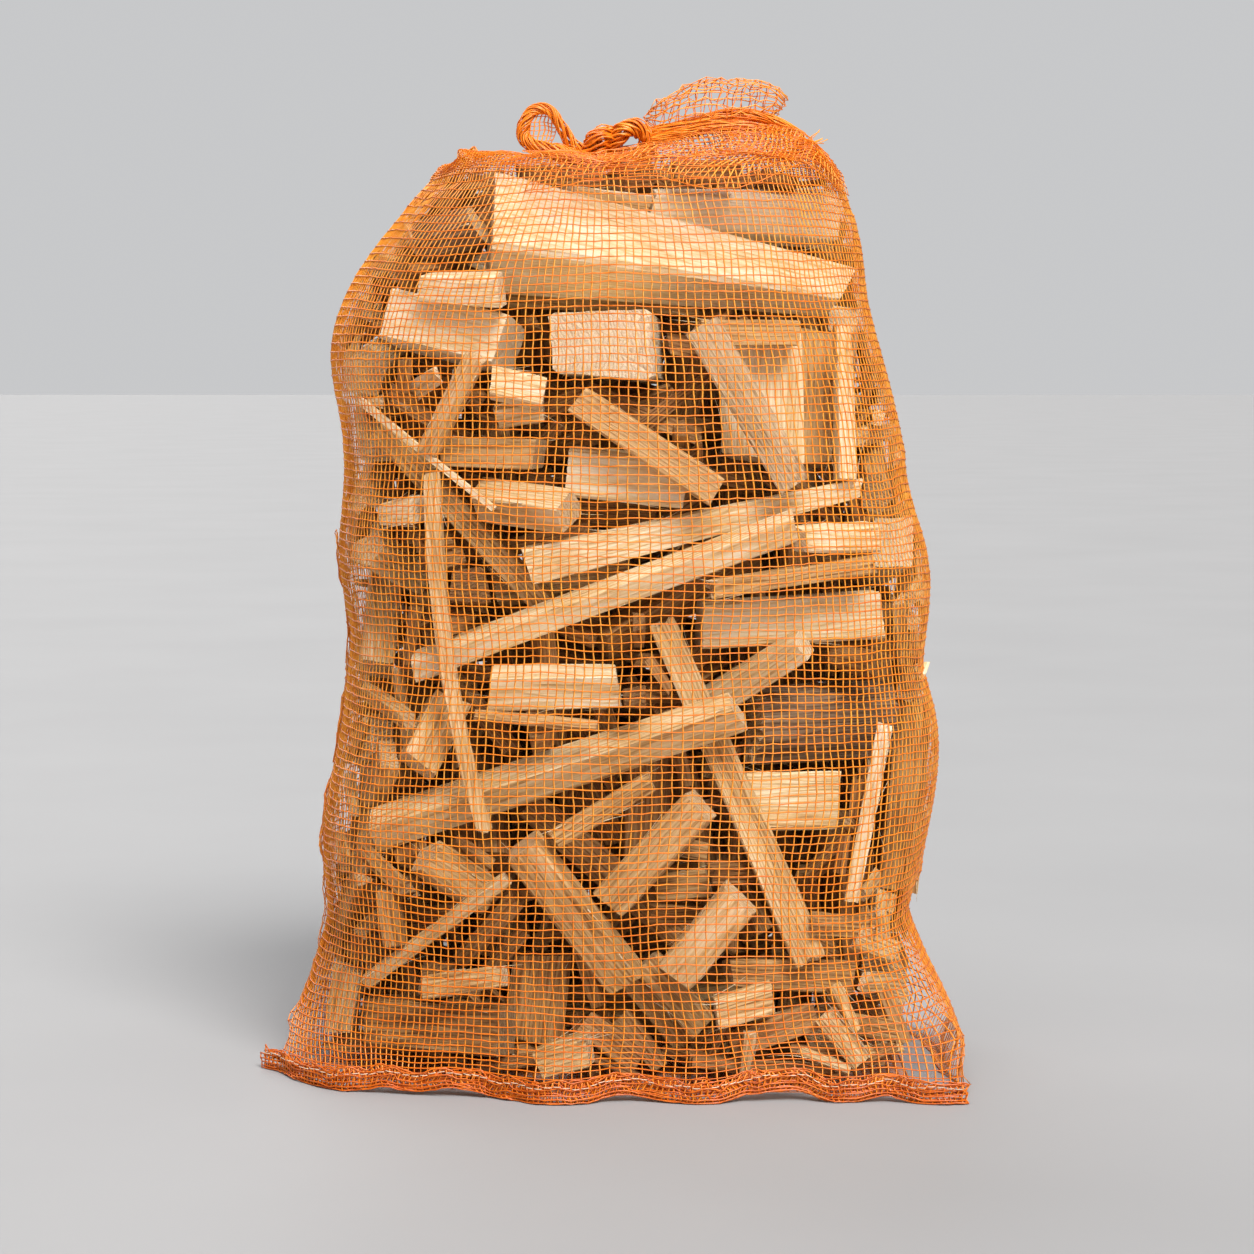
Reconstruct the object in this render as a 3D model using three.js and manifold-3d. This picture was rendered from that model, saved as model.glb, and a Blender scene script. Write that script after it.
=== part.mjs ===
// A net sack of split kindling, standing on its flat base: one net bag with a sewn hem along the
// bottom and a knotted mouth, and the larger pieces of wood inside it. Millimetres, +Z up, with -Y
// the front. The small pieces, chips and splinters between these are not modelled here.
import * as THREE from "three";
import { mergeVertices } from "three/addons/utils/BufferGeometryUtils.js";
import Module from "manifold-3d";

const wasm = await Module();
wasm.setup();

// ---- Driving dimensions ----
const WALL = 1.6; // thickness of the net skin
const BASE = 2; // thickness of the flat bottom
const GAP = 0.5; // least distance between two pieces
const PUSH = 1.5; // one step of a stick that is pushed inwards
const MOST_PUSH = 60; // steps before a stick counts as having no room
const SEGMENTS = 40; // points round the net
const SQUARENESS = 2.8; // exponent of the net's rounded outline
const TIP_HEIGHT = 85; // the empty bottom corners flare out below this height
const TIP_SPREAD = 0.2; // how wide the flare is, in radians round the sack
const TIPS = [
  [-190, -34],
  [171, -112],
]; // where the two bottom corners reach on the floor
const HEM = { height: 11, thickness: 3.4, steps: 64 };
const MOUTH_HEIGHT = 487;
const UNEVEN = 0.22; // how far a stick's corners wander round its cross-section
const BLUNT = 0.07; // share of each side that is cut off at a corner
const SKEW = 0.35; // most slope of a stick's end cut
const TWIST = 0.12; // most turn of a stick from end to end, in radians
const UNEVEN_SIZE = 0.05; // how much a stick's thickness varies along it

// Level outlines of the filled sack, from the floor up: height, left, right, front and back.
const LEVELS = [
  [0, -146, 148, -103, 98],
  [18, -156, 156, -109, 106],
  [60, -161, 157, -112, 110],
  [100, -165, 160, -114, 112],
  [150, -160, 168, -115, 113],
  [190, -154, 171, -114, 113],
  [230, -150, 164, -113, 112],
  [270, -158, 165, -112, 111],
  [300, -155, 155, -111, 110],
  [335, -153, 150, -109, 108],
  [380, -160, 139, -105, 103],
  [410, -152, 131, -100, 98],
  [435, -141, 128, -93, 92],
  [458, -121, 121, -84, 82],
  [475, -100, 111, -72, 70],
  [483, -70, 80, -48, 46],
  [MOUTH_HEIGHT, -26, 8, -15, 17],
];

// The sewn bottom edge on the floor, left to right: x, y and how far it is lifted.
const HEM_ROUTE = [
  [-195, -30, 0],
  [-172, -72, 0],
  [-152, -92, 0],
  [-128, -96, 3],
  [-108, -101, 2],
  [-88, -103, 5],
  [-66, -108, 1],
  [-46, -121, 0],
  [-25, -121, 0],
  [-8, -114, 4],
  [13, -115, 2],
  [38, -121, 0],
  [56, -115, 3],
  [90, -112, 5],
  [112, -118, 0],
  [130, -113, 4],
  [150, -120, 0],
  [177, -121, 0],
];

const WOODS = {
  fresh: { color: 0xe3bf8c, roughness: 0.78 },
  tan: { color: 0xb98a58, roughness: 0.8 },
  grey: { color: 0xa89a86, roughness: 0.85 },
  bark: { color: 0x59412d, roughness: 0.92 },
};
const NET = { color: 0xf07a26, roughness: 0.45 };

// Pieces that show at the front, nearest first. at: x and z of the two ends. deep: how far each end
// lies behind the net. size: across and into the sack. roll: turn about its length, in degrees.
// ends: size of each end against the middle. bow: how far the middle bends across. endOn: the stick
// points out of the sack, so that its end face shows and size is across and up.
const FRONT = [
  { name: "long_thin_slat", at: [-103, 320, -76, 136], deep: [0, 0], size: [10, 6], bow: 4 },
  { name: "broad_front_stick", at: [-133, 132, 56, 199], deep: [8, 2], size: [18, 18], roll: 27 },
  { name: "thin_rod", at: [-138, 52, -62, 113], deep: [1, 4], size: [7, 7], roll: 10 },
  { name: "slanting_square_stick", at: [-54, 130, -1, 57], deep: [0, 16], size: [20, 19], roll: 8 },
  { name: "long_upper_stick", at: [-111, 219, 85, 294], deep: [8, 2], size: [15, 13], roll: 18 },
  { name: "low_right_stick", at: [9, 64, 39, 29], deep: [6, 4], size: [17, 12], roll: 5 },
  { name: "low_centre_stick", at: [-46, 112, 32, 18], deep: [24, 18], size: [15, 14] },
  { name: "bent_top_stick", at: [-38, 133, 12, 163], deep: [8, 8], size: [10, 13] },
  { name: "centre_square_stick", at: [37, 151, -8, 98], deep: [0, 18], size: [20, 19], roll: 14 },
  { name: "ragged_long_stick", at: [17, 243, 95, 67], deep: [30, 1], size: [17, 10], ends: [0.9, 1.1] },
  { name: "short_right_stick", at: [37, 194, 90, 232], deep: [44, 2], size: [18, 15], roll: 12 },
  { name: "ridged_middle_stick", at: [-71, 210, -5, 211], deep: [8, 14], size: [20, 22], roll: 9 },
  { name: "bright_side_slip", at: [133, 190, 116, 98], deep: [2, 2], size: [9, 9] },
  { name: "pale_right_block", at: [62, 148, 109, 148], deep: [20, 14], size: [29, 24] },
  { name: "bark_log", at: [64, 186, 138, 188], deep: [16, 8], size: [45, 42], sides: 9, wood: "bark" },
  { name: "wide_right_block", at: [37, 240, 131, 245], deep: [20, 6], size: [27, 28], roll: 5 },
  { name: "fibrous_right_stick", at: [40, 261, 127, 273], deep: [5, 2], size: [10, 13], wood: "tan" },
  {
    name: "tapered_cross_stick", at: [-52, 272, 120, 312], deep: [14, 3],
    size: [17, 12], ends: [1.2, 0.6],
  },
  { name: "diamond_end_stick", at: [-30, 301, -75, 306], deep: [0, 26], size: [19, 19], roll: 45 },
  { name: "left_falling_stick", at: [-131, 341, -43, 250], deep: [8, 12], size: [14, 12], wood: "tan" },
  { name: "top_log", at: [-72, 444, 112, 414], deep: [0, 0], size: [54, 46], roll: 55, ends: [1, 0.5] },
  {
    name: "upper_right_log", at: [10, 457, 110, 453], deep: [16, 8],
    size: [32, 34], ends: [0.8, 1], sides: 5,
  },
  { name: "grey_weathered_stick", at: [37, 395, 85, 314], deep: [4, 2], size: [18, 12], wood: "grey" },
  { name: "brown_cross_piece", at: [37, 391, 87, 391], deep: [10, 6], size: [14, 16], wood: "tan" },
  { name: "white_end_log", at: [-12, 386, -7, 384], deep: [2, 100], size: [58, 35], endOn: true },
  { name: "leaning_left_stick", at: [-78, 380, -103, 332], deep: [2, 8], size: [13, 15] },
  { name: "bright_left_block", at: [-122, 399, -62, 385], deep: [5, 8], size: [28, 36], roll: -12 },
  { name: "crooked_chunk", at: [-70, 366, -43, 360], deep: [5, 8], size: [19, 22], sides: 5 },
  { name: "centre_wedge", at: [-26, 358, 45, 311], deep: [3, 5], size: [18, 15], wood: "tan" },
  { name: "centre_block", at: [-31, 321, 30, 315], deep: [14, 12], size: [30, 26] },
  { name: "pale_upright_block", at: [69, 388, 69, 326], deep: [20, 16], size: [40, 20] },
  { name: "brown_upright_stick", at: [99, 392, 98, 323], deep: [8, 4], size: [18, 17], wood: "tan" },
  { name: "left_edge_stub", at: [-136, 280, -112, 262], deep: [1, 54], size: [22, 22], sides: 5 },
  { name: "broad_left_piece", at: [-95, 330, -46, 329], deep: [18, 12], size: [18, 18], wood: "tan" },
  { name: "left_rising_stub", at: [-110, 168, -94, 200], deep: [1, 22], size: [22, 21], roll: 12 },
  { name: "low_left_wedge", at: [-105, 122, -74, 98], deep: [2, 26], size: [24, 20], sides: 5 },
  { name: "right_edge_slab", at: [154, 195, 147, 92], deep: [12, 8], size: [22, 28], wood: "tan" },
  { name: "low_cross_block", at: [14, 104, 42, 107], deep: [8, 6], size: [17, 18] },
  { name: "low_bright_end_stick", at: [57, 103, 25, 61], deep: [2, 14], size: [20, 18], roll: 8 },
  { name: "low_left_slab", at: [-135, 28, -63, 29], deep: [8, 8], size: [25, 24], wood: "tan" },
  { name: "low_upright_block", at: [-45, 66, -50, 20], deep: [16, 10], size: [28, 22], wood: "tan" },
  {
    name: "upper_left_bark", at: [-108, 438, -78, 448], deep: [2, 2],
    size: [22, 26], sides: 6, wood: "bark",
  },
];

// Pieces that show at the back and the two ends of the sack, as laid: facing names the side.
const ROUND_ABOUT = [
  {
    name: "back_top_log", facing: "back", at: [-98, 424, 66, 404], deep: [3, 3],
    size: [34, 30], sides: 5,
  },
  {
    name: "back_slanting_stick", facing: "back", at: [-112, 300, 82, 372], deep: [2, 3],
    size: [22, 18],
  },
  {
    name: "back_upright_stick", facing: "back", at: [-62, 356, -80, 226], deep: [20, 2],
    size: [20, 20], roll: 20,
  },
  {
    name: "back_middle_block", facing: "back", at: [-30, 262, 92, 240], deep: [3, 2],
    size: [34, 30], sides: 5,
  },
  {
    name: "back_bark_piece", facing: "back", at: [-120, 196, 20, 176], deep: [4, 2],
    size: [32, 26], sides: 7, wood: "bark",
  },
  {
    name: "back_falling_stick", facing: "back", at: [26, 214, 118, 92], deep: [2, 3],
    size: [19, 17], roll: 30,
  },
  {
    name: "back_low_stick", facing: "back", at: [-128, 64, 60, 108], deep: [2, 3],
    size: [21, 20], roll: 15,
  },
  {
    name: "back_floor_block", facing: "back", at: [-60, 34, 104, 32], deep: [3, 3],
    size: [34, 30], sides: 5, wood: "tan",
  },
  {
    name: "right_upper_stick", facing: "right", at: [-8, 400, 66, 336], deep: [3, 3],
    size: [18, 18], roll: 10,
  },
  {
    name: "right_middle_block", facing: "right", at: [-26, 282, 66, 262], deep: [3, 3],
    size: [28, 24],
  },
  { name: "right_upright_stick", facing: "right", at: [40, 222, 22, 96], deep: [2, 2], size: [21, 18] },
  {
    name: "left_upper_block", facing: "left", at: [-30, 372, 64, 386], deep: [3, 3],
    size: [30, 26], sides: 5,
  },
  {
    name: "left_middle_stick", facing: "left", at: [-34, 214, 58, 300], deep: [2, 2],
    size: [20, 18], roll: 15,
  },
];

// ---- Helpers ----

// Numbers from 0 to 1 that repeat for the same seed.
function randomFrom(seed) {
  let state = (seed * 2654435761) >>> 0;
  return () => {
    state = (Math.imul(state, 1664525) + 1013904223) >>> 0;
    return state / 2 ** 32;
  };
}

// A closed surface through rings of points; each end is filled from a point at its middle.
function loft(rings) {
  const count = rings[0].length;
  const points = rings.flat();
  const index = [];
  for (let r = 0; r + 1 < rings.length; r++) {
    for (let i = 0; i < count; i++) {
      const a = r * count + i;
      const b = r * count + ((i + 1) % count);
      index.push(a, b, b + count, a, b + count, a + count);
    }
  }
  for (const [ring, offset, flip] of [
    [rings[0], 0, true],
    [rings[rings.length - 1], (rings.length - 1) * count, false],
  ]) {
    const middle = new THREE.Vector3();
    ring.forEach((p) => middle.addScaledVector(p, 1 / count));
    const m = points.push(middle) - 1;
    for (let i = 0; i < count; i++) {
      const a = offset + i;
      const b = offset + ((i + 1) % count);
      index.push(...(flip ? [b, a, m] : [a, b, m]));
    }
  }
  return new THREE.BufferGeometry().setFromPoints(points).setIndex(index);
}

function solidOf(geometry) {
  const bare = geometry.clone();
  bare.deleteAttribute("normal");
  bare.deleteAttribute("uv");
  const merged = mergeVertices(bare, 1e-4);
  return new wasm.Manifold(
    new wasm.Mesh({
      numProp: 3,
      vertProperties: new Float32Array(merged.attributes.position.array),
      triVerts: new Uint32Array(merged.index.array),
    }),
  );
}

const group = new THREE.Group();

function addMesh(name, geometry, look) {
  const mesh = new THREE.Mesh(geometry, new THREE.MeshStandardMaterial({ ...look, metalness: 0 }));
  mesh.name = name;
  group.add(mesh);
  return mesh;
}

// ---- The net bag ----

const signedPower = (value, power) => Math.sign(value) * Math.abs(value) ** power;

// One level outline of the sack, seen from above and running anticlockwise, drawn in by inset.
function outline([z, left, right, front, back], inset, height = z) {
  const middle = new THREE.Vector2((left + right) / 2, (front + back) / 2);
  const pull = Math.max(0, 1 - height / TIP_HEIGHT) ** 1.15;
  const ring = [];
  for (let i = 0; i < SEGMENTS; i++) {
    const angle = (i / SEGMENTS) * 2 * Math.PI;
    const point = new THREE.Vector2(
      middle.x + ((right - left) / 2 - inset) * signedPower(Math.cos(angle), 2 / SQUARENESS),
      middle.y + ((back - front) / 2 - inset) * signedPower(Math.sin(angle), 2 / SQUARENESS),
    );
    for (const [x, y] of TIPS) {
      const tip = new THREE.Vector2(x - Math.sign(x) * 3 * inset, y);
      const turn = tip.clone().sub(middle).angle() - point.clone().sub(middle).angle();
      const apart = Math.atan2(Math.sin(turn), Math.cos(turn));
      point.lerp(tip, pull * Math.exp(-((apart / TIP_SPREAD) ** 2)));
    }
    ring.push(new THREE.Vector3(point.x, point.y, height));
  }
  return ring;
}

// The level at any height, between the listed ones.
function levelAt(z) {
  const k = Math.max(1, LEVELS.findIndex((level) => level[0] >= z));
  const [low, high] = [LEVELS[k - 1], LEVELS[k]];
  const t = THREE.MathUtils.clamp((z - low[0]) / (high[0] - low[0]), 0, 1);
  return low.map((value, i) => THREE.MathUtils.lerp(value, high[i], t));
}

// How far out from the sack's middle plane the net is, on the side that is faced, at (across, z).
function surfaceAt(facing, across, z) {
  const [, left, right, front, back] = levelAt(z);
  const frontOrBack = facing === "front" || facing === "back";
  const [low, high] = frontOrBack ? [left, right] : [front, back];
  const reach = { front: -front, back, left: -left, right }[facing];
  const share = Math.min(1, Math.abs((2 * across - low - high) / (high - low)));
  return reach * (1 - share ** SQUARENESS) ** (1 / SQUARENESS);
}

function netBag() {
  const outer = LEVELS.map((level) => outline(level, 0));
  const inner = LEVELS.map((level, i) => outline(level, WALL, i === 0 ? BASE : level[0]));
  return loft([...outer, ...inner.reverse()]);
}

// The sewn edge: a low upright band that runs along the floor in waves.
function bottomHem() {
  const route = new THREE.CatmullRomCurve3(HEM_ROUTE.map((p) => new THREE.Vector3(...p)));
  const half = HEM.thickness / 2;
  const rings = [];
  for (let i = 0; i <= HEM.steps; i++) {
    const point = route.getPointAt(i / HEM.steps);
    const along = route.getTangentAt(i / HEM.steps);
    const side = new THREE.Vector3(-along.y, along.x, 0).normalize();
    const lift = Math.max(0, point.z);
    rings.push(
      [
        [half * 0.6, 0],
        [half, HEM.height / 2],
        [half * 0.6, HEM.height],
        [-half * 0.6, HEM.height],
        [-half, HEM.height / 2],
        [-half * 0.6, 0],
      ].map(([out, up]) => point.clone().setZ(lift + up).addScaledVector(side, out)),
    );
  }
  return loft(rings);
}

// A round lump with soft folds, for the net that is bunched above the mouth.
function bunch(width, depth, height, folds, foldDepth) {
  const geometry = new THREE.SphereGeometry(1, 18, 10);
  const place = geometry.attributes.position;
  const point = new THREE.Vector3();
  for (let i = 0; i < place.count; i++) {
    point.fromBufferAttribute(place, i);
    const round = Math.hypot(point.x, point.z);
    const swell = 1 + foldDepth * round * Math.cos(folds * Math.atan2(point.z, point.x));
    place.setXYZ(i, (point.x * swell * width) / 2, (point.y * depth) / 2, (point.z * swell * height) / 2);
  }
  return geometry;
}

// ---- The wood ----

// The cross-section of a split stick: corners on an ellipse, uneven, each cut by a small chamfer.
function section(sides, across, into, random) {
  const corners = [];
  for (let i = 0; i < sides; i++) {
    const turn = sides === 4 ? Math.PI / 4 : random() * 0.5;
    const angle = turn + ((i + UNEVEN * (random() - 0.5)) / sides) * 2 * Math.PI;
    const reach = (sides === 4 ? Math.SQRT2 : 1.06) * (0.94 + 0.1 * random());
    corners.push(
      new THREE.Vector2((reach * Math.cos(angle) * across) / 2, (reach * Math.sin(angle) * into) / 2),
    );
  }
  return corners.flatMap((corner, i) => {
    const before = corners[(i + sides - 1) % sides];
    const after = corners[(i + 1) % sides];
    return [corner.clone().lerp(before, BLUNT), corner.clone().lerp(after, BLUNT)];
  });
}

const UP = new THREE.Vector3(0, 0, 1);
const FACES = {
  front: { out: new THREE.Vector3(0, -1, 0), across: new THREE.Vector3(1, 0, 0) },
  back: { out: new THREE.Vector3(0, 1, 0), across: new THREE.Vector3(1, 0, 0) },
  left: { out: new THREE.Vector3(-1, 0, 0), across: new THREE.Vector3(0, 1, 0) },
  right: { out: new THREE.Vector3(1, 0, 0), across: new THREE.Vector3(0, 1, 0) },
};

// A stick between two ends, tapered, bowed and cut a little askew, before it is pushed inwards.
function stickGeometry(row, seed) {
  const { facing = "front", at, deep, size, roll = 0, sides = 4, ends = [1, 1], bow = 0, endOn } = row;
  const random = randomFrom(seed);
  const { out, across } = FACES[facing];
  const end = (a, z, depth) =>
    new THREE.Vector3(0, 0, z)
      .addScaledVector(across, a)
      .addScaledVector(out, surfaceAt(facing, a, z) - WALL - depth - (endOn ? 0 : size[1] / 2));
  const from = end(at[0], at[1], deep[0]);
  const to = end(at[2], at[3], deep[1]);
  const along = to.clone().sub(from).normalize();
  const wide = along.clone().cross(endOn ? UP : out).normalize();
  const thick = along.clone().cross(wide).normalize();
  const outlinePoints = section(sides, size[0], size[1], random);
  const skew = [random() - 0.5, random() - 0.5].map((value) => value * SKEW);
  const twist = (random() - 0.5) * TWIST;
  const stations = [0, 0.25, 0.5, 0.75, 1];
  const turned = new THREE.Vector2();
  const rings = stations.map((t) => {
    const scale = THREE.MathUtils.lerp(ends[0], ends[1], t) * (1 + UNEVEN_SIZE * (random() - 0.5));
    const centre = from.clone().lerp(to, t).addScaledVector(wide, bow * 4 * t * (1 - t));
    return outlinePoints.map((p) => {
      turned.copy(p).rotateAround(new THREE.Vector2(), (roll * Math.PI) / 180 + twist * (t - 0.5));
      const slant = (t === 0 ? skew[0] : t === 1 ? skew[1] : 0) * turned.x;
      return centre
        .clone()
        .addScaledVector(wide, turned.x * scale)
        .addScaledVector(thick, turned.y * scale)
        .addScaledVector(along, slant);
    });
  });
  return loft(rings);
}

const placed = [];

const boxesMeet = (a, b) =>
  [0, 1, 2].every((k) => a.min[k] < b.max[k] + GAP && b.min[k] < a.max[k] + GAP);

const isClear = (solid) => {
  const box = solid.boundingBox();
  return placed.every(
    (other) => !boxesMeet(box, other.box) || solid.minGap(other.solid, 2 * GAP) >= GAP,
  );
};

function remember(solid) {
  placed.push({ solid, box: solid.boundingBox() });
}

// Slides a stick inwards from the net until it clears the net and every stick already laid.
function layStick(row, seed) {
  const geometry = stickGeometry(row, seed);
  const { out } = FACES[row.facing ?? "front"];
  for (let step = 0; step < MOST_PUSH; step++) {
    const shift = out.clone().multiplyScalar(-PUSH * step);
    const moved = geometry.clone().translate(shift.x, shift.y, shift.z);
    const solid = solidOf(moved);
    if (isClear(solid)) {
      remember(solid);
      addMesh(row.name, moved, WOODS[row.wood ?? "fresh"]);
      return step;
    }
  }
  throw new Error(`${row.name} finds no room`);
}

// ---- Assembly ----

const bag = netBag();
remember(solidOf(bag));
addMesh("net_bag", bag, NET);
const hem = bottomHem();
remember(solidOf(hem));
addMesh("bottom_hem", hem, NET);

[...FRONT, ...ROUND_ABOUT].forEach((row, i) => layStick(row, i + 1));

addMesh("mouth_knot", bunch(34, 24, 17, 3, 0.08), NET).position.set(-10, 0, 496.5);
const loop = new THREE.TorusGeometry(10, 4, 8, 20);
loop.rotateX(Math.PI / 2);
const leftLoop = addMesh("left_loop", loop, NET);
leftLoop.position.set(-45, -6, 500.2);
leftLoop.rotation.z = 0.35;
const ear = addMesh("right_ear", bunch(70, 26, 27, 4, 0.07), NET);
ear.position.set(46, 2, 514);
ear.rotation.y = -0.1;

// The sack stands on the origin: the middle of its box, at the floor.
group.updateMatrixWorld(true);
const whole = new THREE.Box3().setFromObject(group, true);
const centre = whole.getCenter(new THREE.Vector3());
group.children.forEach((mesh) => mesh.position.sub(new THREE.Vector3(centre.x, centre.y, whole.min.z)));

export default group;
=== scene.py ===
"""Looks for a net sack of split kindling: every stick is cut again from its CAD solid with grain
and torn edges, smaller wood fills the sack, and a net of single yarns is drawn tight over it."""

import itertools
import math

import bpy
import numpy as np
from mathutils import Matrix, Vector
from mathutils.bvhtree import BVHTree


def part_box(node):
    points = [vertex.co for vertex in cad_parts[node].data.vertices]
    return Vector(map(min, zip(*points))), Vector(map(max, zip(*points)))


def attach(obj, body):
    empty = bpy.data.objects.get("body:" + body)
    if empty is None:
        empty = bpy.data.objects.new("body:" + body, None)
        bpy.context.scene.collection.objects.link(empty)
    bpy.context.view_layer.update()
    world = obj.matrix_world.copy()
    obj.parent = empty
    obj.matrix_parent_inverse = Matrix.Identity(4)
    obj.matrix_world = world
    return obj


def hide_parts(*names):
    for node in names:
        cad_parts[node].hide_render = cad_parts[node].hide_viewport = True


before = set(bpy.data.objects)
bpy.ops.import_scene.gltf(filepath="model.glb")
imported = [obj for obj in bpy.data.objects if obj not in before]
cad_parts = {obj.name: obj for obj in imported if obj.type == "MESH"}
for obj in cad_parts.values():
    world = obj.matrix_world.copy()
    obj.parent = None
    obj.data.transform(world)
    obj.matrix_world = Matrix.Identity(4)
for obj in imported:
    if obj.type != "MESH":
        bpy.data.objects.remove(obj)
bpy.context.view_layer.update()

MM = 0.001
BODY = "root"
NET_NODES = ("net_bag", "bottom_hem", "mouth_knot", "left_loop", "right_ear")
STICK_WOODS = {
    "bark": ("bark_log", "upper_left_bark", "back_bark_piece"),
    "grey": ("grey_weathered_stick",),
    "honey": (
        "ragged_long_stick",
        "centre_square_stick",
        "slanting_square_stick",
        "low_bright_end_stick",
        "low_right_stick",
        "low_centre_stick",
        "low_cross_block",
        "low_left_wedge",
        "left_rising_stub",
        "bent_top_stick",
        "left_middle_stick",
        "left_edge_stub",
        "left_upper_block",
        "leaning_left_stick",
        "long_thin_slat",
        "diamond_end_stick",
        "back_falling_stick",
        "back_slanting_stick",
        "back_middle_block",
    ),
    "tan": (
        "fibrous_right_stick",
        "left_falling_stick",
        "brown_cross_piece",
        "centre_wedge",
        "brown_upright_stick",
        "broad_left_piece",
        "right_edge_slab",
        "low_left_slab",
        "low_upright_block",
        "back_floor_block",
    ),
}
TORN_ENDS = ("ragged_long_stick", "long_thin_slat", "fibrous_right_stick", "bark_log")

# Small pieces that show between the sticks at the front: x and z of the two ends, width across,
# width into the sack, how far behind the net they start and the kind of wood, in millimetres.
FRONT_PIECES = [
    ((-130, 357, -58, 302), 5, 3, 0, "fresh"),
    ((-69, 197, -6, 192), 7, 8, 0, "tan"),
    ((-55, 411, 46, 408), 13, 16, 0, "tan"),
    ((121, 396, 122, 316), 11, 13, 0, "fresh"),
    ((55, 41, 84, 49), 17, 14, 0, "fresh"),
    ((111, 41, 131, 16), 12, 12, 0, "fresh"),
    ((116, 54, 128, 30), 9, 10, 0, "fresh"),
    ((73, 32, 70, 8), 10, 9, 0, "fresh"),
    ((62, 61, 127, 57), 17, 15, 0, "tan"),
    ((-95, 54, -54, 62), 14, 12, 0, "fresh"),
    ((-36, 15, -10, 23), 17, 15, 0, "fresh"),
    ((-139, 55, -144, 21), 16, 16, 0, "fresh"),
    ((-115, 103, -111, 73), 16, 16, 0, "tan"),
    ((-96, 415, -55, 413), 17, 17, 0, "fresh"),
    ((97, 286, 138, 286), 17, 16, 0, "fresh"),
    ((-60, 259, 10, 272), 26, 16, 22, "tan"),
    ((145, 276, 146, 205), 14, 14, 0, "fresh"),
    ((-58, 349, -34, 352), 14, 22, 0, "fresh"),
    ((-116, 298, -98, 301), 17, 22, 0, "fresh"),
    ((-22, 465, 20, 460), 11, 26, 0, "fresh"),
    ((-20, 88, -6, 40), 10, 8, 6, "tan"),
    ((98, 22, 124, 12), 7, 6, 0, "fresh"),
    ((-70, 150, -20, 158), 11, 12, 12, "tan"),
    ((20, 128, 50, 122), 12, 12, 10, "tan"),
    ((104, 88, 138, 84), 13, 6, 0, "tan"),
    ((128, 80, 150, 68), 15, 5, 0, "fresh"),
    ((132, 58, 156, 50), 13, 5, 0, "fresh"),
    ((124, 34, 150, 29), 12, 5, 3, "tan"),
]

# ---- Numbers, noise and small geometry ----

rng = np.random.default_rng(20)


def noise(points, seed=0):
    """Smooth noise from -1 to 1 at an array of points, one lattice cell to a unit."""
    base = np.floor(points).astype(np.int64)
    part = points - base
    part = part * part * (3 - 2 * part)
    total = np.zeros(points.shape[:-1])
    for corner in itertools.product((0, 1), repeat=3):
        key = base + corner
        mixed = (key[..., 0] * 73856093) ^ (key[..., 1] * 19349663) ^ (key[..., 2] * 83492791)
        mixed = (mixed ^ (seed * 40503 + 977)) & 0xFFFFFFFF
        mixed = ((mixed ^ (mixed >> 13)) * 1274126177) & 0xFFFFFFFF
        value = ((mixed ^ (mixed >> 16)) & 0xFFFF) / 32767.5 - 1
        weight = np.prod(np.where(corner, part, 1 - part), axis=-1)
        total += value * weight
    return total


def unit(vectors):
    return vectors / np.maximum(np.linalg.norm(vectors, axis=-1, keepdims=True), 1e-12)


def smooth_path(points, count):
    """A smooth line of count points through the given ones."""
    points = np.asarray(points, float)
    ends = np.vstack([2 * points[0] - points[1], points, 2 * points[-1] - points[-2]])
    place = np.linspace(0, len(points) - 1, count)
    k = np.minimum(place.astype(int), len(points) - 2)
    t = (place - k)[:, None]
    a, b, c, d = (ends[k + i] for i in range(4))
    return 0.5 * (
        2 * b + (c - a) * t + (2 * a - 5 * b + 4 * c - d) * t**2 + (3 * b - 3 * c + d - a) * t**3
    )


def hull(points):
    """The corners of the convex outline of flat points, anticlockwise."""
    ordered = sorted(map(tuple, np.round(points, 6)))

    def half(run):
        chain = []
        for p in run:
            while len(chain) > 1:
                (ax, ay), (bx, by) = chain[-2:]
                if (bx - ax) * (p[1] - ay) - (by - ay) * (p[0] - ax) > 0:
                    break
                chain.pop()
            chain.append(p)
        return chain[:-1]

    return np.array(half(ordered) + half(ordered[::-1]))


def area_and_centre(corners):
    after = np.roll(corners, -1, 0)
    cross = corners[:, 0] * after[:, 1] - after[:, 0] * corners[:, 1]
    area = cross.sum() / 2
    return area, ((corners + after) * cross[:, None]).sum(0) / (6 * area)


def node_mesh(name):
    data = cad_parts[name].data
    points = np.array([v.co for v in data.vertices], float)
    faces = np.array([p.vertices[:3] for p in data.polygons], int)
    return points, faces


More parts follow.
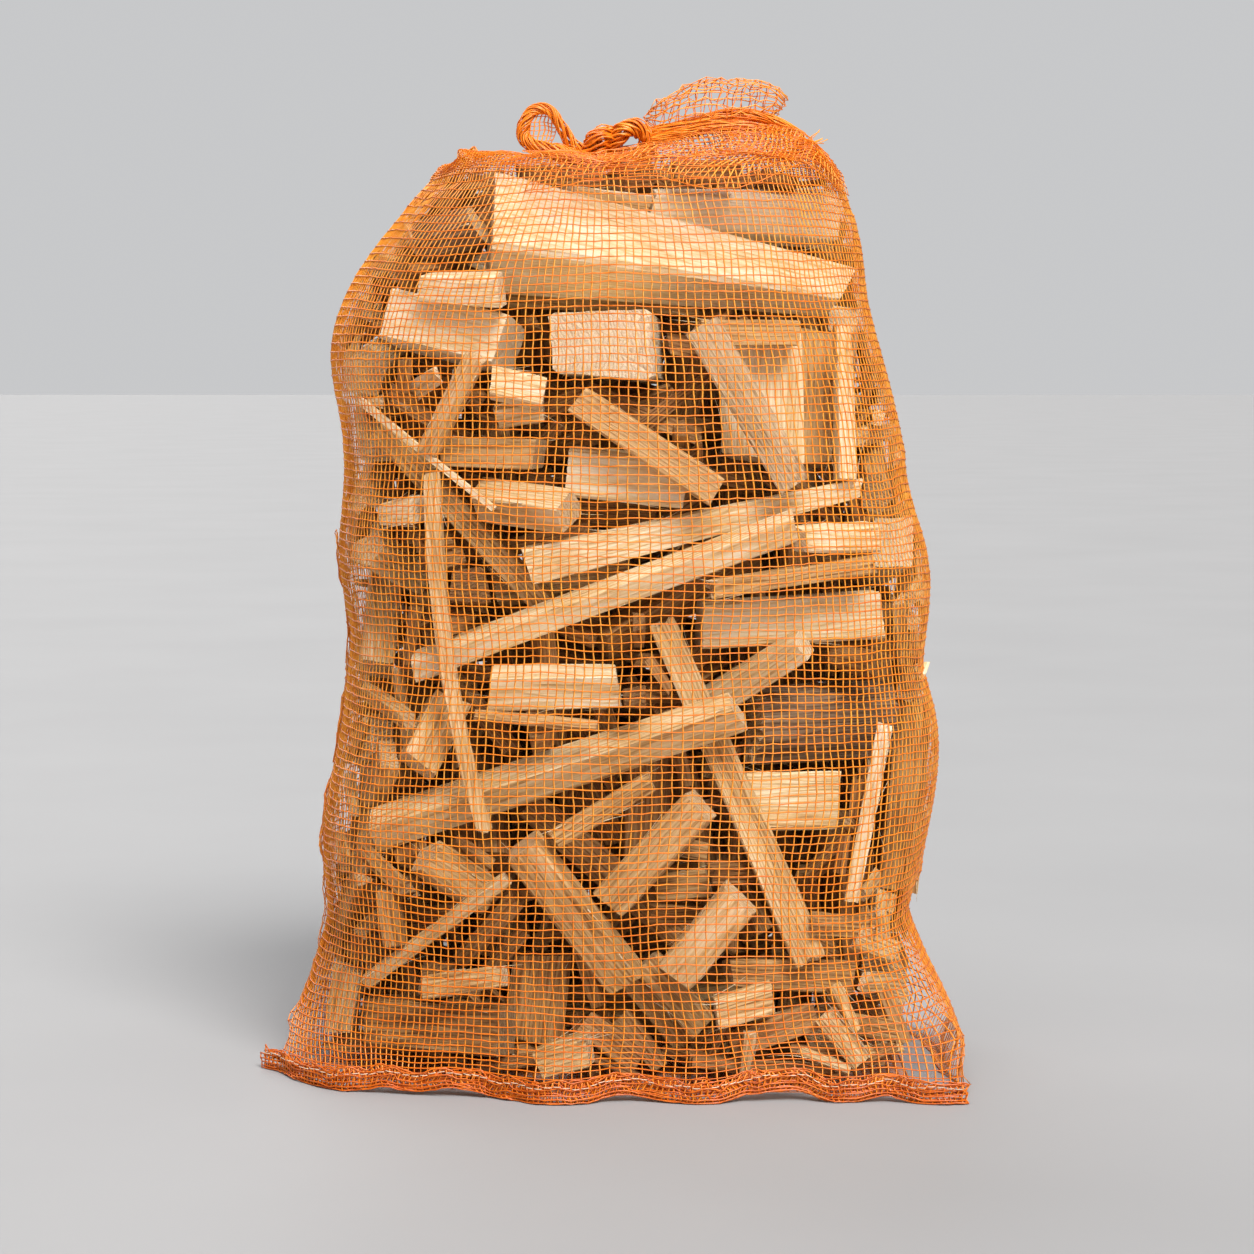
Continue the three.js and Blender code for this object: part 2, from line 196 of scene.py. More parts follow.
class Shape:
    """The points, faces and attributes of one piece in the making."""

    def __init__(self):
        self.points, self.faces, self.values, self.count = [], [], {}, 0

    def add(self, points, faces, **values):
        """faces is a list of index arrays; values give an attribute for each point, or for each
        face where its name starts with face_."""
        points = points.reshape(-1, 3)
        self.points.append(points)
        self.faces.append([f.reshape(-1, f.shape[-1]) + self.count for f in faces])
        self.count += len(points)
        for name, value in values.items():
            self.values.setdefault(name, []).append(value)

    def build(self, name, material, replaces=(), sharp=None):
        mesh = bpy.data.meshes.new(name)
        points = np.concatenate(self.points)
        groups = [group for part in self.faces for group in part]
        loops = np.concatenate([g.ravel() for g in groups]).astype(np.int32)
        sizes = np.concatenate([np.full(len(g), g.shape[1]) for g in groups])
        mesh.vertices.add(len(points))
        mesh.vertices.foreach_set("co", points.astype(np.float32).ravel())
        mesh.loops.add(len(loops))
        mesh.loops.foreach_set("vertex_index", loops)
        mesh.polygons.add(len(sizes))
        mesh.polygons.foreach_set("loop_start", (np.cumsum(sizes) - sizes).astype(np.int32))
        for key, parts in self.values.items():
            value = np.concatenate(parts).astype(np.float32)
            domain = "FACE" if key.startswith("face_") else "POINT"
            kind, field = ("FLOAT_VECTOR", "vector") if value.ndim == 2 else ("FLOAT", "value")
            mesh.attributes.new(key, kind, domain).data.foreach_set(field, value.ravel())
        mesh.update(calc_edges=True)
        mesh.validate()
        mesh.shade_smooth()
        if sharp is not None:
            mesh.set_sharp_from_angle(angle=math.radians(sharp))
        mesh.materials.append(material)
        piece = bpy.data.objects.new(name, mesh)
        bpy.context.scene.collection.objects.link(piece)
        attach(piece, BODY)
        if replaces:
            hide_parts(*replaces)
        return piece


def tube_mesh(lines, outward, width, thick, sides, closed=False):
    """Flat yarns along many lines at once. lines and outward are lines x points x 3; width may
    be a number or an array that fits lines x points x 1."""
    if closed:
        along = np.roll(lines, -1, 1) - np.roll(lines, 1, 1)
    else:
        along = np.gradient(lines, axis=1)
    along = unit(along)
    across = unit(np.cross(along, outward))
    up = np.cross(across, along)
    turns = (np.arange(sides) + 0.5) / sides * 2 * np.pi
    half = np.asarray(width) / 2, np.asarray(thick) / 2
    ring = [
        lines + across * half[0] * math.cos(a) + up * half[1] * math.sin(a) for a in turns
    ]
    points = np.stack(ring, axis=2)
    index = np.arange(points[..., 0].size).reshape(points.shape[:3])
    near, far = (index, np.roll(index, -1, 1)) if closed else (index[:, :-1], index[:, 1:])
    quads = np.stack([near, far, np.roll(far, -1, 2), np.roll(near, -1, 2)], axis=-1)
    faces = [quads.reshape(-1, 4)]
    if not closed:
        faces += [index[:, 0], index[:, -1, ::-1]]
    return points, faces


# ---- Sticks ----

SIDE_STEP = 2.3 * MM
LENGTH_STEP = 3.6 * MM


class Stick:
    """A straight or slightly bowed split stick with a convex cross-section."""

    def __init__(self, centre, axes, corners, ends, line=None, taper=0.0, torn=(0, 0)):
        self.centre, self.axes, self.corners = centre, axes, corners
        self.ends, self.taper, self.torn = ends, taper, torn
        self.line = np.zeros((3, 2)) if line is None else line
        edge = np.roll(corners, -1, 0) - corners
        self.normals = unit(np.stack([edge[:, 1], -edge[:, 0]], 1))
        self.reach = np.linalg.norm(corners, axis=1).max()

    @property
    def length(self):
        return self.ends[1][0] - self.ends[0][0]

    def offset(self, x):
        return self.line[0] + x[..., None] * self.line[1] + x[..., None] ** 2 * self.line[2]

    def place(self, local):
        return self.centre + local @ self.axes

    def distance(self, points):
        """How far points lie outside the stick, below zero inside it."""
        local = (points - self.centre) @ self.axes.T
        x = local[..., 0]
        scale = 1 + self.taper * x
        flat = (local[..., 1:] - self.offset(x)) / scale[..., None]
        gaps = [(flat - c) @ n for c, n in zip(self.corners, self.normals)]
        sides = np.max(gaps, axis=0) * scale
        past = x - (self.ends[1][0] + flat @ self.ends[1][1:])
        before = self.ends[0][0] + flat @ self.ends[0][1:] - x
        return np.maximum(sides, np.maximum(past, before))

    def ring(self, step):
        points = []
        for a, b in zip(self.corners, np.roll(self.corners, -1, 0)):
            count = max(1, round(np.linalg.norm(b - a) / step))
            points += [a + (b - a) * i / count for i in range(count)]
        return np.array(points)

    def box(self):
        low, high = self.ends[0][0], self.ends[1][0]
        x = np.array([low, 0.0, high])
        middle = self.place(np.column_stack([x, self.offset(x)]))
        reach = self.reach * (1 + abs(self.taper) * max(-low, high)) + 4 * MM
        return middle.min(0) - reach, middle.max(0) + reach


def stick_of_node(name):
    """The stick that a CAD solid stands for: its axis, three cross-sections and two end cuts."""
    points, faces = node_mesh(name)
    unique = np.unique(np.round(points, 6), axis=0)
    centre = (unique.max(0) + unique.min(0)) / 2
    axis = np.linalg.svd(unique - unique.mean(0), full_matrices=False)[2][0]
    for _ in range(2):
        along = (unique - centre) @ axis
        high = unique[along > along.max() * 0.72].mean(0)
        low = unique[along < along.min() * 0.72].mean(0)
        axis = unit(high - low)
        centre = (high + low) / 2
    guide = np.array([0.0, 0, 1]) if abs(axis[2]) < 0.8 else np.array([0.0, 1, 0])
    side = unit(np.cross(guide, axis))
    axes = np.array([axis, side, np.cross(axis, side)])
    local = (points - centre) @ axes.T
    half = np.abs(local[:, 0]).max()

    def cut(x):
        tri = local[faces]
        found = []
        for i in range(3):
            a, b = tri[:, i], tri[:, (i + 1) % 3]
            crosses = (a[:, 0] - x) * (b[:, 0] - x) < 0
            a, b = a[crosses], b[crosses]
            t = ((x - a[:, 0]) / (b[:, 0] - a[:, 0]))[:, None]
            found.append((a + (b - a) * t)[:, 1:])
        return hull(np.concatenate(found))

    reach = 0.3 * half
    sections = [cut(x) for x in (-reach, 0.013 * half, reach)]
    areas, centres = zip(*(area_and_centre(s) for s in sections))
    sizes = np.sqrt(areas)
    line = np.array(
        [
            centres[1],
            (centres[2] - centres[0]) / (2 * reach),
            (centres[2] + centres[0] - 2 * centres[1]) / (2 * reach**2),
        ]
    )
    corners = thin_out(sections[1] - centres[1])
    ends = []
    for sign in (-1, 1):
        last = local[local[:, 0] * sign > 0.78 * half]
        flat = last[:, 1:] - (line[0] + last[:, :1] * line[1] + last[:, :1] ** 2 * line[2])
        fit = np.linalg.lstsq(np.column_stack([np.ones(len(last)), flat]), last[:, 0], rcond=None)
        ends.append(fit[0])
    torn = (1, 1) if name in TORN_ENDS else (0, 0)
    taper = (sizes[2] - sizes[0]) / (2 * reach * sizes[1])
    return Stick(centre, axes, corners, ends, line, taper, torn)


def thin_out(corners):
    """Drops corners that lie nearly on the line between their neighbours."""
    kept = list(corners)
    turning = True
    while turning and len(kept) > 4:
        turning = False
        for i in range(len(kept)):
            a, b, c = kept[i - 1], kept[i], kept[(i + 1) % len(kept)]
            ab, bc = b - a, c - b
            if abs(ab[0] * bc[1] - ab[1] * bc[0]) < 0.05 * np.linalg.norm(ab) * np.linalg.norm(bc):
                kept.pop(i)
                turning = True
                break
    return np.array(kept)


def split_section(width, depth, sides):
    """The uneven cross-section of a split piece, its arrises slightly blunt."""
    turn = (np.arange(sides) + 0.25 * rng.uniform(-1, 1, sides)) / sides * 2 * np.pi
    turn += np.pi / 4 if sides == 4 else rng.uniform(0, 2 * np.pi)
    reach = (1.32 if sides == 4 else 1.12) * rng.uniform(0.82, 1.05, sides)
    corners = np.stack([np.cos(turn) * width, np.sin(turn) * depth], 1) / 2 * reach[:, None]
    before, after = np.roll(corners, 1, 0), np.roll(corners, -1, 0)
    blunt = np.stack([corners * 0.92 + before * 0.08, corners * 0.92 + after * 0.08], 1)
    return blunt.reshape(-1, 2)


def free_stick(start, end, outward, width, depth, sides=4, torn=(0, 0)):
    """A stick between two points, width across and depth along outward."""
    axis = unit(end - start)
    across = unit(np.cross(axis, outward))
    axes = np.array([axis, across, np.cross(axis, across)])
    half = np.linalg.norm(end - start) / 2
    slopes = rng.uniform(-0.2, 0.2, (2, 2))
    ends = [np.array([-half, *slopes[0]]), np.array([half, *slopes[1]])]
    line = np.zeros((3, 2))
    line[2] = rng.uniform(-1, 1, 2) * 0.02 / max(half, 10 * MM)
    taper = rng.uniform(-0.25, 0.25) / (2 * half)
    corners = split_section(width, depth, sides)
    return Stick((start + end) / 2, axes, corners, ends, line, taper, torn)


def add_stick(shape, stick, tone, wear=1.0, rough=1.0, step=1.0):
    """Adds a stick's surface: fibres and torn arrises in its sides, and two cut ends."""
    ring = stick.ring(SIDE_STEP * step)
    sides = len(ring)
    count = max(3, round(stick.length / (LENGTH_STEP * step)))
    share = np.linspace(0, 1, count + 1)
    shift = rng.uniform(-1, 1, 3) * (0.9, 0.02, 0.02) + (0, 0.03, 0.012)
    around = np.linalg.norm(np.roll(ring, -1, 0) - ring, axis=1)
    turn = np.roll(ring, -1, 0) - np.roll(ring, 1, 0)
    out = unit(np.stack([turn[:, 1], -turn[:, 0]], 1))
    arris = np.minimum(around, np.roll(around, 1)) < 0.55 * np.median(around)

    cuts = []
    for end, torn, sign in zip(stick.ends, stick.torn, (-1, 1)):
        at = np.column_stack([ring / (1.1 * MM), np.full(sides, sign * 7.0)])
        ragged = 0.35 * MM * noise(at, 3)
        if torn:
            ragged = -sign * 5 * MM * np.abs(noise(at * 0.6, 5))
        cuts.append(end[0] + ring @ end[1:] + ragged)
    x = cuts[0][None] + (cuts[1] - cuts[0])[None] * share[:, None]
    scale = (1 + stick.taper * x)[..., None]
    solid = np.concatenate([x[..., None], np.broadcast_to(ring, (*x.shape, 2))], -1) + shift
    coarse = noise(solid / np.array([90, 7, 7]) / MM, 1)
    fine = noise(solid / np.array([48, 3.4, 3.4]) / MM, 2)
    chip = np.clip(noise(solid / np.array([7, 5, 5]) / MM, 4) - 0.25, 0, 1)
    sink = 0.6 * (coarse - 0.4) + 0.34 * (fine - 0.5) * rough
    sink -= np.where(arris, 1.5, 0.25) * chip * wear
    end_wear = np.exp(-np.minimum(share, 1 - share) * stick.length / (2.5 * MM))[:, None]
    sink -= 0.35 * end_wear
    limit = 0.16 * np.linalg.norm(ring, axis=1) / MM
    sink = np.maximum(sink, -limit)
    flat = ring * scale + out * (sink * MM)[..., None] + stick.offset(x)
    local = np.concatenate([x[..., None], flat], -1)
    grain = local + shift
    index = np.arange(local[..., 0].size).reshape(local.shape[:2])
    near, far = index[:-1], index[1:]
    quads = np.stack([near, np.roll(near, -1, 1), np.roll(far, -1, 1), far], -1).reshape(-1, 4)
    points, grains, faces = [local.reshape(-1, 3)], [grain.reshape(-1, 3)], [quads]
    cut_flags = [np.zeros(len(quads))]
    used = local[..., 0].size
    for row, sign, torn in ((0, -1, stick.torn[0]), (count, 1, stick.torn[1])):
        rim = index[row]
        middle = local[row].mean(0)
        last = rim
        for inner in (0.66, 0.33):
            circle = middle + (local[row] - middle) * inner
            bumps = noise(circle[:, [1, 2, 1]] / (1.3 * MM) + 9 * sign, 6)
            circle[:, 0] += (0.18 + 2.2 * torn) * MM * bumps
            points.append(circle)
            grains.append(circle + shift)
            fresh = used + np.arange(sides)
            used += sides
            band = [last, np.roll(last, -1), np.roll(fresh, -1), fresh]
            faces.append(np.stack(band[:: -sign], -1))
            cut_flags.append(np.ones(sides))
            last = fresh
        points.append(middle[None])
        grains.append((middle + shift)[None])
        fan = [last, np.roll(last, -1), np.full(sides, used)]
        faces.append(np.stack(fan[:: -sign], -1))
        cut_flags.append(np.ones(sides))
        used += 1
    placed = stick.place(np.concatenate(points))
    shape.add(
        placed,
        faces,
        grain=np.concatenate(grains),
        tone=np.full(len(placed), tone),
        face_cut=np.concatenate(cut_flags),
    )


# ---- The space inside the sack ----

GRID = 2.5 * MM


class Room:
    """A grid of how far each place is from the nearest wood."""

    def __init__(self, low, high):
        self.low = low - 8 * MM
        self.shape = tuple(np.ceil((high - low + 16 * MM) / GRID).astype(int) + 1)
        self.wood = np.full(self.shape, 30 * MM)

    def fill(self, stick):
        low, high = stick.box()
        a = np.clip(np.floor((low - 9 * MM - self.low) / GRID).astype(int), 0, self.shape)
        b = np.clip(np.ceil((high + 9 * MM - self.low) / GRID).astype(int), 0, self.shape)
        axes = [np.arange(a[k], b[k]) * GRID + self.low[k] for k in range(3)]
        points = np.stack(np.meshgrid(*axes, indexing="ij"), -1)
        part = tuple(slice(a[k], b[k]) for k in range(3))
        self.wood[part] = np.minimum(self.wood[part], stick.distance(points))

    def gap(self, points):
        place = np.clip((points - self.low) / GRID, 0, np.array(self.shape) - 1.001)
        base = place.astype(int)
        part = place - base
        total = 0
        for corner in itertools.product((0, 1), repeat=3):
            key = tuple((base + corner).T) if points.ndim == 2 else None
            weight = np.prod(np.where(corner, part, 1 - part), axis=-1)
            total = total + self.wood[key] * weight
        return total

    def push(self, points):
        """The direction in which the gap grows fastest."""
        steps = np.eye(3) * GRID * 0.6
        grow = [self.gap(points + s) - self.gap(points - s) for s in steps]
        return unit(np.stack(grow, -1))


class Skin:
    """The sack's outline, read from its CAD solid as a radius by height and direction."""

    DIRECTIONS = 240
    STEP = 2 * MM

    def __init__(self):
        low, high = (np.array(c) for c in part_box("net_bag"))
        self.axis = (low + high)[:2] / 2
        self.top = high[2]
        points, faces = node_mesh("net_bag")
        tree = BVHTree.FromPolygons(points.tolist(), faces.tolist())
        self.heights = np.arange(1 * MM, self.top - 1 * MM, self.STEP)
        turns = np.arange(self.DIRECTIONS) / self.DIRECTIONS * 2 * np.pi
        far = 0.6
        table = []
        for z in self.heights:
            row = []
            for turn in turns:
                ray = Vector((math.cos(turn), math.sin(turn), 0))
                start = Vector((*self.axis, z)) + ray * far
                hit = tree.ray_cast(start, -ray)[3]
                row.append(far - hit if hit is not None else 0.0)
            table.append(row)
        self.table = np.array(table)

    def radius(self, turn, z):
        i = np.clip((z - self.heights[0]) / self.STEP, 0, len(self.heights) - 1.001)
        j = (turn / (2 * np.pi) % 1) * self.DIRECTIONS
        a, b = i.astype(int), j.astype(int) % self.DIRECTIONS
        c = (b + 1) % self.DIRECTIONS
        s, t = i - a, j - np.floor(j)
        low = self.table[a, b] * (1 - t) + self.table[a, c] * t
        high = self.table[a + 1, b] * (1 - t) + self.table[a + 1, c] * t
        return low * (1 - s) + high * s

    def room(self, points):
        """Roughly how far inside the net points are."""
        flat = points[..., :2] - self.axis
        turn = np.arctan2(flat[..., 1], flat[..., 0])
        z = points[..., 2]
        level = self.radius(turn, z) - np.linalg.norm(flat, axis=-1)
        return np.minimum(np.minimum(level * 0.85, z), (self.top - z) * 0.7)

    def wall(self, turn, z):
        r = self.radius(turn, z)
        return np.stack([self.axis[0] + r * np.cos(turn), self.axis[1] + r * np.sin(turn), z], -1)


skin = Skin()
room = Room(*(np.array(c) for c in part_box("net_bag")))

stick_names = [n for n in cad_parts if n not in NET_NODES]
sticks = {name: stick_of_node(name) for name in stick_names}
for stick in sticks.values():
    room.fill(stick)


def probe(stick):
    """Points over a stick's surface and along its middle, to test whether it fits."""
    ring = np.concatenate([stick.ring(4 * MM), stick.corners * 0.5, np.zeros((1, 2))])
    count = max(4, round(stick.length / (5 * MM)))
    x = np.linspace(stick.ends[0][0], stick.ends[1][0], count)
    grid = np.repeat(x, len(ring)), np.tile(ring, (count, 1))
    flat = grid[1] * (1 + stick.taper * grid[0])[:, None] + stick.offset(grid[0])
    return stick.place(np.column_stack([grid[0], flat]))


SLIDE_STEP = 1.5 * MM
MOST_HIDDEN = 0.04


def settle(stick, inward, most, touch=-0.6 * MM, skin_gap=2.2 * MM, hides=None):
    """Slides a stick inwards until it clears the net and the wood; None if it finds no room."""
    points = probe(stick)
    for step in range(int(most / SLIDE_STEP)):
        moved = points + inward * (SLIDE_STEP * step)
        if hides is not None and hides(moved) > MOST_HIDDEN:
            continue
        if skin.room(moved).min() > skin_gap and room.gap(moved).min() > touch:
            stick.centre = stick.centre + inward * (SLIDE_STEP * step)
            room.fill(stick)
            return stick
    return None


FRONT = np.array([0.0, -1, 0])
front_sticks = {"fresh": [], "tan": []}
for (x0, z0, x1, z1), width, depth, inset, wood in FRONT_PIECES:
    ends = []
    for x, z in ((x0, z0), (x1, z1)):
        y = -np.linspace(0.02, 0.125, 90)
        line = np.column_stack([np.full(90, x * MM), y, np.full(90, z * MM)])
        inside = line[skin.room(line) > (2.6 + depth / 2 + inset) * MM]
        ends.append(inside[-1] if len(inside) else line[40])
    piece = free_stick(ends[0], ends[1], FRONT, width * MM, depth * MM, 4 if width > 9 else 5)
    if settle(piece, -FRONT, 70 * MM, touch=-1.2 * MM):
        front_sticks[wood].append(piece)

MIDDLE_Y = 30 * MM
grid_y = (room.low[1] + np.arange(room.shape[1]) * GRID)[None, :, None]
solid_wood = room.wood < 0.5 * MM
front_wood = np.where(solid_wood & (grid_y < MIDDLE_Y), grid_y, 9.0).min(1)
front_wood[front_wood > 1] = -9.0
back_wood = np.where(solid_wood & (grid_y > MIDDLE_Y), grid_y, -9.0).max(1)
back_wood[back_wood < -1] = 9.0


def hides(points):
    """The share of the points that would stand before the large sticks, front or back."""
    place = np.rint((points - room.low) / GRID).astype(int)
    a = np.clip(place[:, 0], 0, room.shape[0] - 1)
    b = np.clip(place[:, 2], 0, room.shape[2] - 1)
    return ((points[:, 1] < front_wood[a, b]) | (points[:, 1] > back_wood[a, b])).mean()


# Wood that fills the rest of the sack: pieces are offered at the net, biggest first, and slide in.
FILL_SIZES = ((32, 150, 600), (25, 140, 800), (19, 110, 900), (13, 80, 900), (9, 50, 600))
FRONT_DEPTH = (24, 60)
SIDE_DEPTH = (0, 5)
CORE_DEPTH = (45, 100)
fill_sticks = {"outer": [], "inner": []}
for width, length, tries in FILL_SIZES:
    for _ in range(tries):
        turn = rng.uniform(0, 2 * np.pi)
        if rng.random() < 0.4:
            turn = rng.choice((0.0, np.pi)) + rng.normal(0, 0.4)
        z = rng.uniform(10, 455) * MM
        surface = skin.wall(np.array(turn), np.array(z))
        out = np.array([math.cos(turn), math.sin(turn), 0.0])
        level = np.array([-out[1], out[0], 0.0])
        lean = rng.normal(0, 0.6) if rng.random() < 0.65 else rng.uniform(0, np.pi)
        axis = level * math.cos(lean) + np.array([0, 0, 1.0]) * math.sin(lean)
        axis = unit(axis + out * rng.normal(0, 0.1))
        half = length * MM * rng.uniform(0.4, 1.15) / 2
        size = width * MM * rng.uniform(0.8, 1.2)
        depths = FRONT_DEPTH if out[1] < -0.6 else SIDE_DEPTH
        if rng.random() < 0.3:
            depths = CORE_DEPTH
        middle = surface - out * (size / 2 + rng.uniform(*depths) * MM)
        sides = int(rng.integers(3, 6))
        depth = size * rng.uniform(0.7, 1.1)
        piece = free_stick(middle - axis * half, middle + axis * half, out, size, depth, sides)
        if settle(piece, -out, (30 if width > 12 else 60) * MM, hides=hides):
            # Pieces deeper than 16 mm go to the inner wood, which is coloured with painted shade.
            depth = skin.room(piece.centre[None])[0] - size / 2
            fill_sticks["inner" if depth > 16 * MM else "outer"].append(piece)


GAP_STEP = 3.6 * MM
GAP_DEPTH = 20 * MM
SIGHT_DISTANCE = 1.6
SIGHTS = [(0, 5), (225, 15), (90, 3), (45, 25), (315, 15), (0, 2), (180, 8), (0, 5)]


def close_gaps(azimuth, elevation):
    """Puts short sticks deep inside where a line of sight would pass right through the sack."""
    turn, tilt = math.radians(azimuth), math.radians(elevation)
    ray = np.array([-math.sin(turn) * math.cos(tilt), math.cos(turn) * math.cos(tilt), -math.sin(tilt)])
    level = unit(np.cross(ray, (0, 0, 1)))
    rise = np.cross(level, ray)
    low, high = (np.array(c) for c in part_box("net_bag"))
    middle = (low + high) / 2
    across = np.arange(-190 * MM, 190 * MM, GAP_STEP)
    up = np.arange(-250 * MM, 250 * MM, GAP_STEP)
    deep = np.arange(-200 * MM, 200 * MM, 3 * MM)
    offsets = (level * across[:, None, None] + rise * up[:, None]).reshape(-1, 1, 3)
    lines = middle + offsets * (1 + deep[:, None] / SIGHT_DISTANCE) + ray * deep[:, None]
    depths = skin.room(lines)
    for k in rng.permutation(len(lines)):
        inside = depths[k] > 8 * MM
        line, depth = lines[k][inside], depths[k][inside]
        if len(line) < 8:
            continue
        gap = room.gap(line)
        if gap.min() < 0.3 * MM:
            continue
        score = np.minimum(gap, 14 * MM) + 0.6 * np.minimum(depth, 40 * MM)
        for attempt, place in enumerate(np.argsort(-score)[:30:3]):
            if depth[place] < min(GAP_DEPTH, 0.6 * depth.max()):
                continue
            size = float(np.clip(1.9 * gap[place], 5 * MM, 24 * MM))
            turn = rng.uniform(0, np.pi)
            half = rng.uniform(14, 40) * MM if attempt < 5 else rng.uniform(8, 16) * MM
            half = (level * math.cos(turn) + rise * math.sin(turn)) * half
            centre = line[place]
            piece = free_stick(centre - half, centre + half, ray, size, size * 0.9)
            if settle(piece, ray, 3 * MM, touch=-1.5 * MM, hides=hides):
                fill_sticks["inner"].append(piece)
                break


for azimuth, elevation in SIGHTS:
    close_gaps(azimuth, elevation)
print("fill sticks", [len(p) for p in fill_sticks.values()])

# ---- Materials ----


def graph(name):
    material = bpy.data.materials.new(name)
    material.use_nodes = True
    tree = material.node_tree
    shader = tree.nodes["Principled BSDF"]

    def node(kind, inputs=(), out=0, **settings):
        made = tree.nodes.new(kind)
        for key, value in settings.items():
            setattr(made, key, value)
        for key, value in dict(inputs).items():
            if isinstance(value, bpy.types.NodeSocket):
                tree.links.new(value, made.inputs[key])
            else:
                made.inputs[key].default_value = value
        return made.outputs[out]

    def connect(value, key):
        tree.links.new(value, shader.inputs[key])

    return material, shader, node, connect


def ramp(node, factor, stops):
    out = node("ShaderNodeValToRGB", {0: factor})
    bar = out.node.color_ramp
    for i, (place, colour) in enumerate(stops):
        stop = bar.elements[i] if i < 2 else bar.elements.new(place)
        stop.position = place
        stop.color = (*colour, 1)
    return out


def sum_of(node, *terms):
    """A weighted sum of shader values: each term is a socket and its weight, or a number."""
    total = 0.0
    for term in terms:
        if isinstance(term, tuple):
            total = node(
                "ShaderNodeMath", {0: term[0], 1: term[1], 2: total}, operation="MULTIPLY_ADD"
            )
        elif isinstance(total, float):
            total += term
        else:
            total = node("ShaderNodeMath", {0: total, 1: term}, operation="ADD")
    return total


def wood_material(name, stops, end_stops, ring_weight=0.22, roughness=0.7, bump=0.8, fibre=0.8):
    """Split wood from its stick's own grain: rings about a distant pith, drawn out fibres,
    slow stains, and paler speckled end grain on the cut faces."""
    material, shader, node, connect = graph(name)
    grain = node("ShaderNodeAttribute", attribute_name="grain", out=1)
    # The tone attribute holds each stick's tone, which for most sticks includes the painted shade by
    # height.
    tone = node("ShaderNodeAttribute", attribute_name="tone", out=2)
    cut = node("ShaderNodeAttribute", attribute_name="face_cut", out=2)

    def solid(along, across, detail=4.0, roughness=0.55):
        stretched = node(
            "ShaderNodeVectorMath",
            {0: grain, 1: (1000 / along, 1000 / across, 1000 / across)},
            operation="MULTIPLY",
        )
        settings = {"Vector": stretched, "Scale": 1.0, "Detail": detail, "Roughness": roughness}
        return node("ShaderNodeTexNoise", settings)

    streaks = solid(34, 1.15, 5.0, 0.6)
    hairs = solid(9, 0.42, 3.0, 0.7)
    bends = solid(70, 9, 2.0)
    stains = solid(42, 13, 3.0)
    pores = solid(0.7, 0.5, 2.0, 0.8)
    flat = node("ShaderNodeVectorMath", {0: grain, 1: (0, 1000, 1000)}, operation="MULTIPLY")
    reach = node("ShaderNodeVectorMath", {0: flat}, operation="LENGTH", out=1)
    phase = sum_of(node, (reach, 2.9), (bends, 26.0))
    wave = node("ShaderNodeMath", {0: phase}, operation="SINE")
    lifted = sum_of(node, (wave, 0.5), 0.5)
    rings = node("ShaderNodeMath", {0: lifted, 1: 3.0}, operation="POWER")
    level = sum_of(
        node,
        (streaks, fibre * 1.2),
        (hairs, fibre * 0.7),
        (stains, 0.9),
        (rings, -ring_weight),
        (tone, 0.55),
        0.02 - 0.95 * fibre,
    )
    colour = ramp(node, level, stops)
    speck = sum_of(node, (pores, 0.9), (rings, -0.22), (tone, 0.3), (stains, 0.4), -0.3)
    end_colour = ramp(node, speck, end_stops)
    mix = node("ShaderNodeMix", {0: cut, 6: colour, 7: end_colour}, data_type="RGBA", out=2)
    connect(mix, "Base Color")
    shader.inputs["Roughness"].default_value = roughness
    shader.inputs["Specular IOR Level"].default_value = 0.3
    height = sum_of(node, (streaks, 0.8), (hairs, 0.35), (rings, 0.25), (pores, 0.1))
    lift = node(
        "ShaderNodeBump",
        {"Height": height, "Strength": bump, "Distance": 0.9 * MM},
    )
    connect(lift, "Normal")
    return material


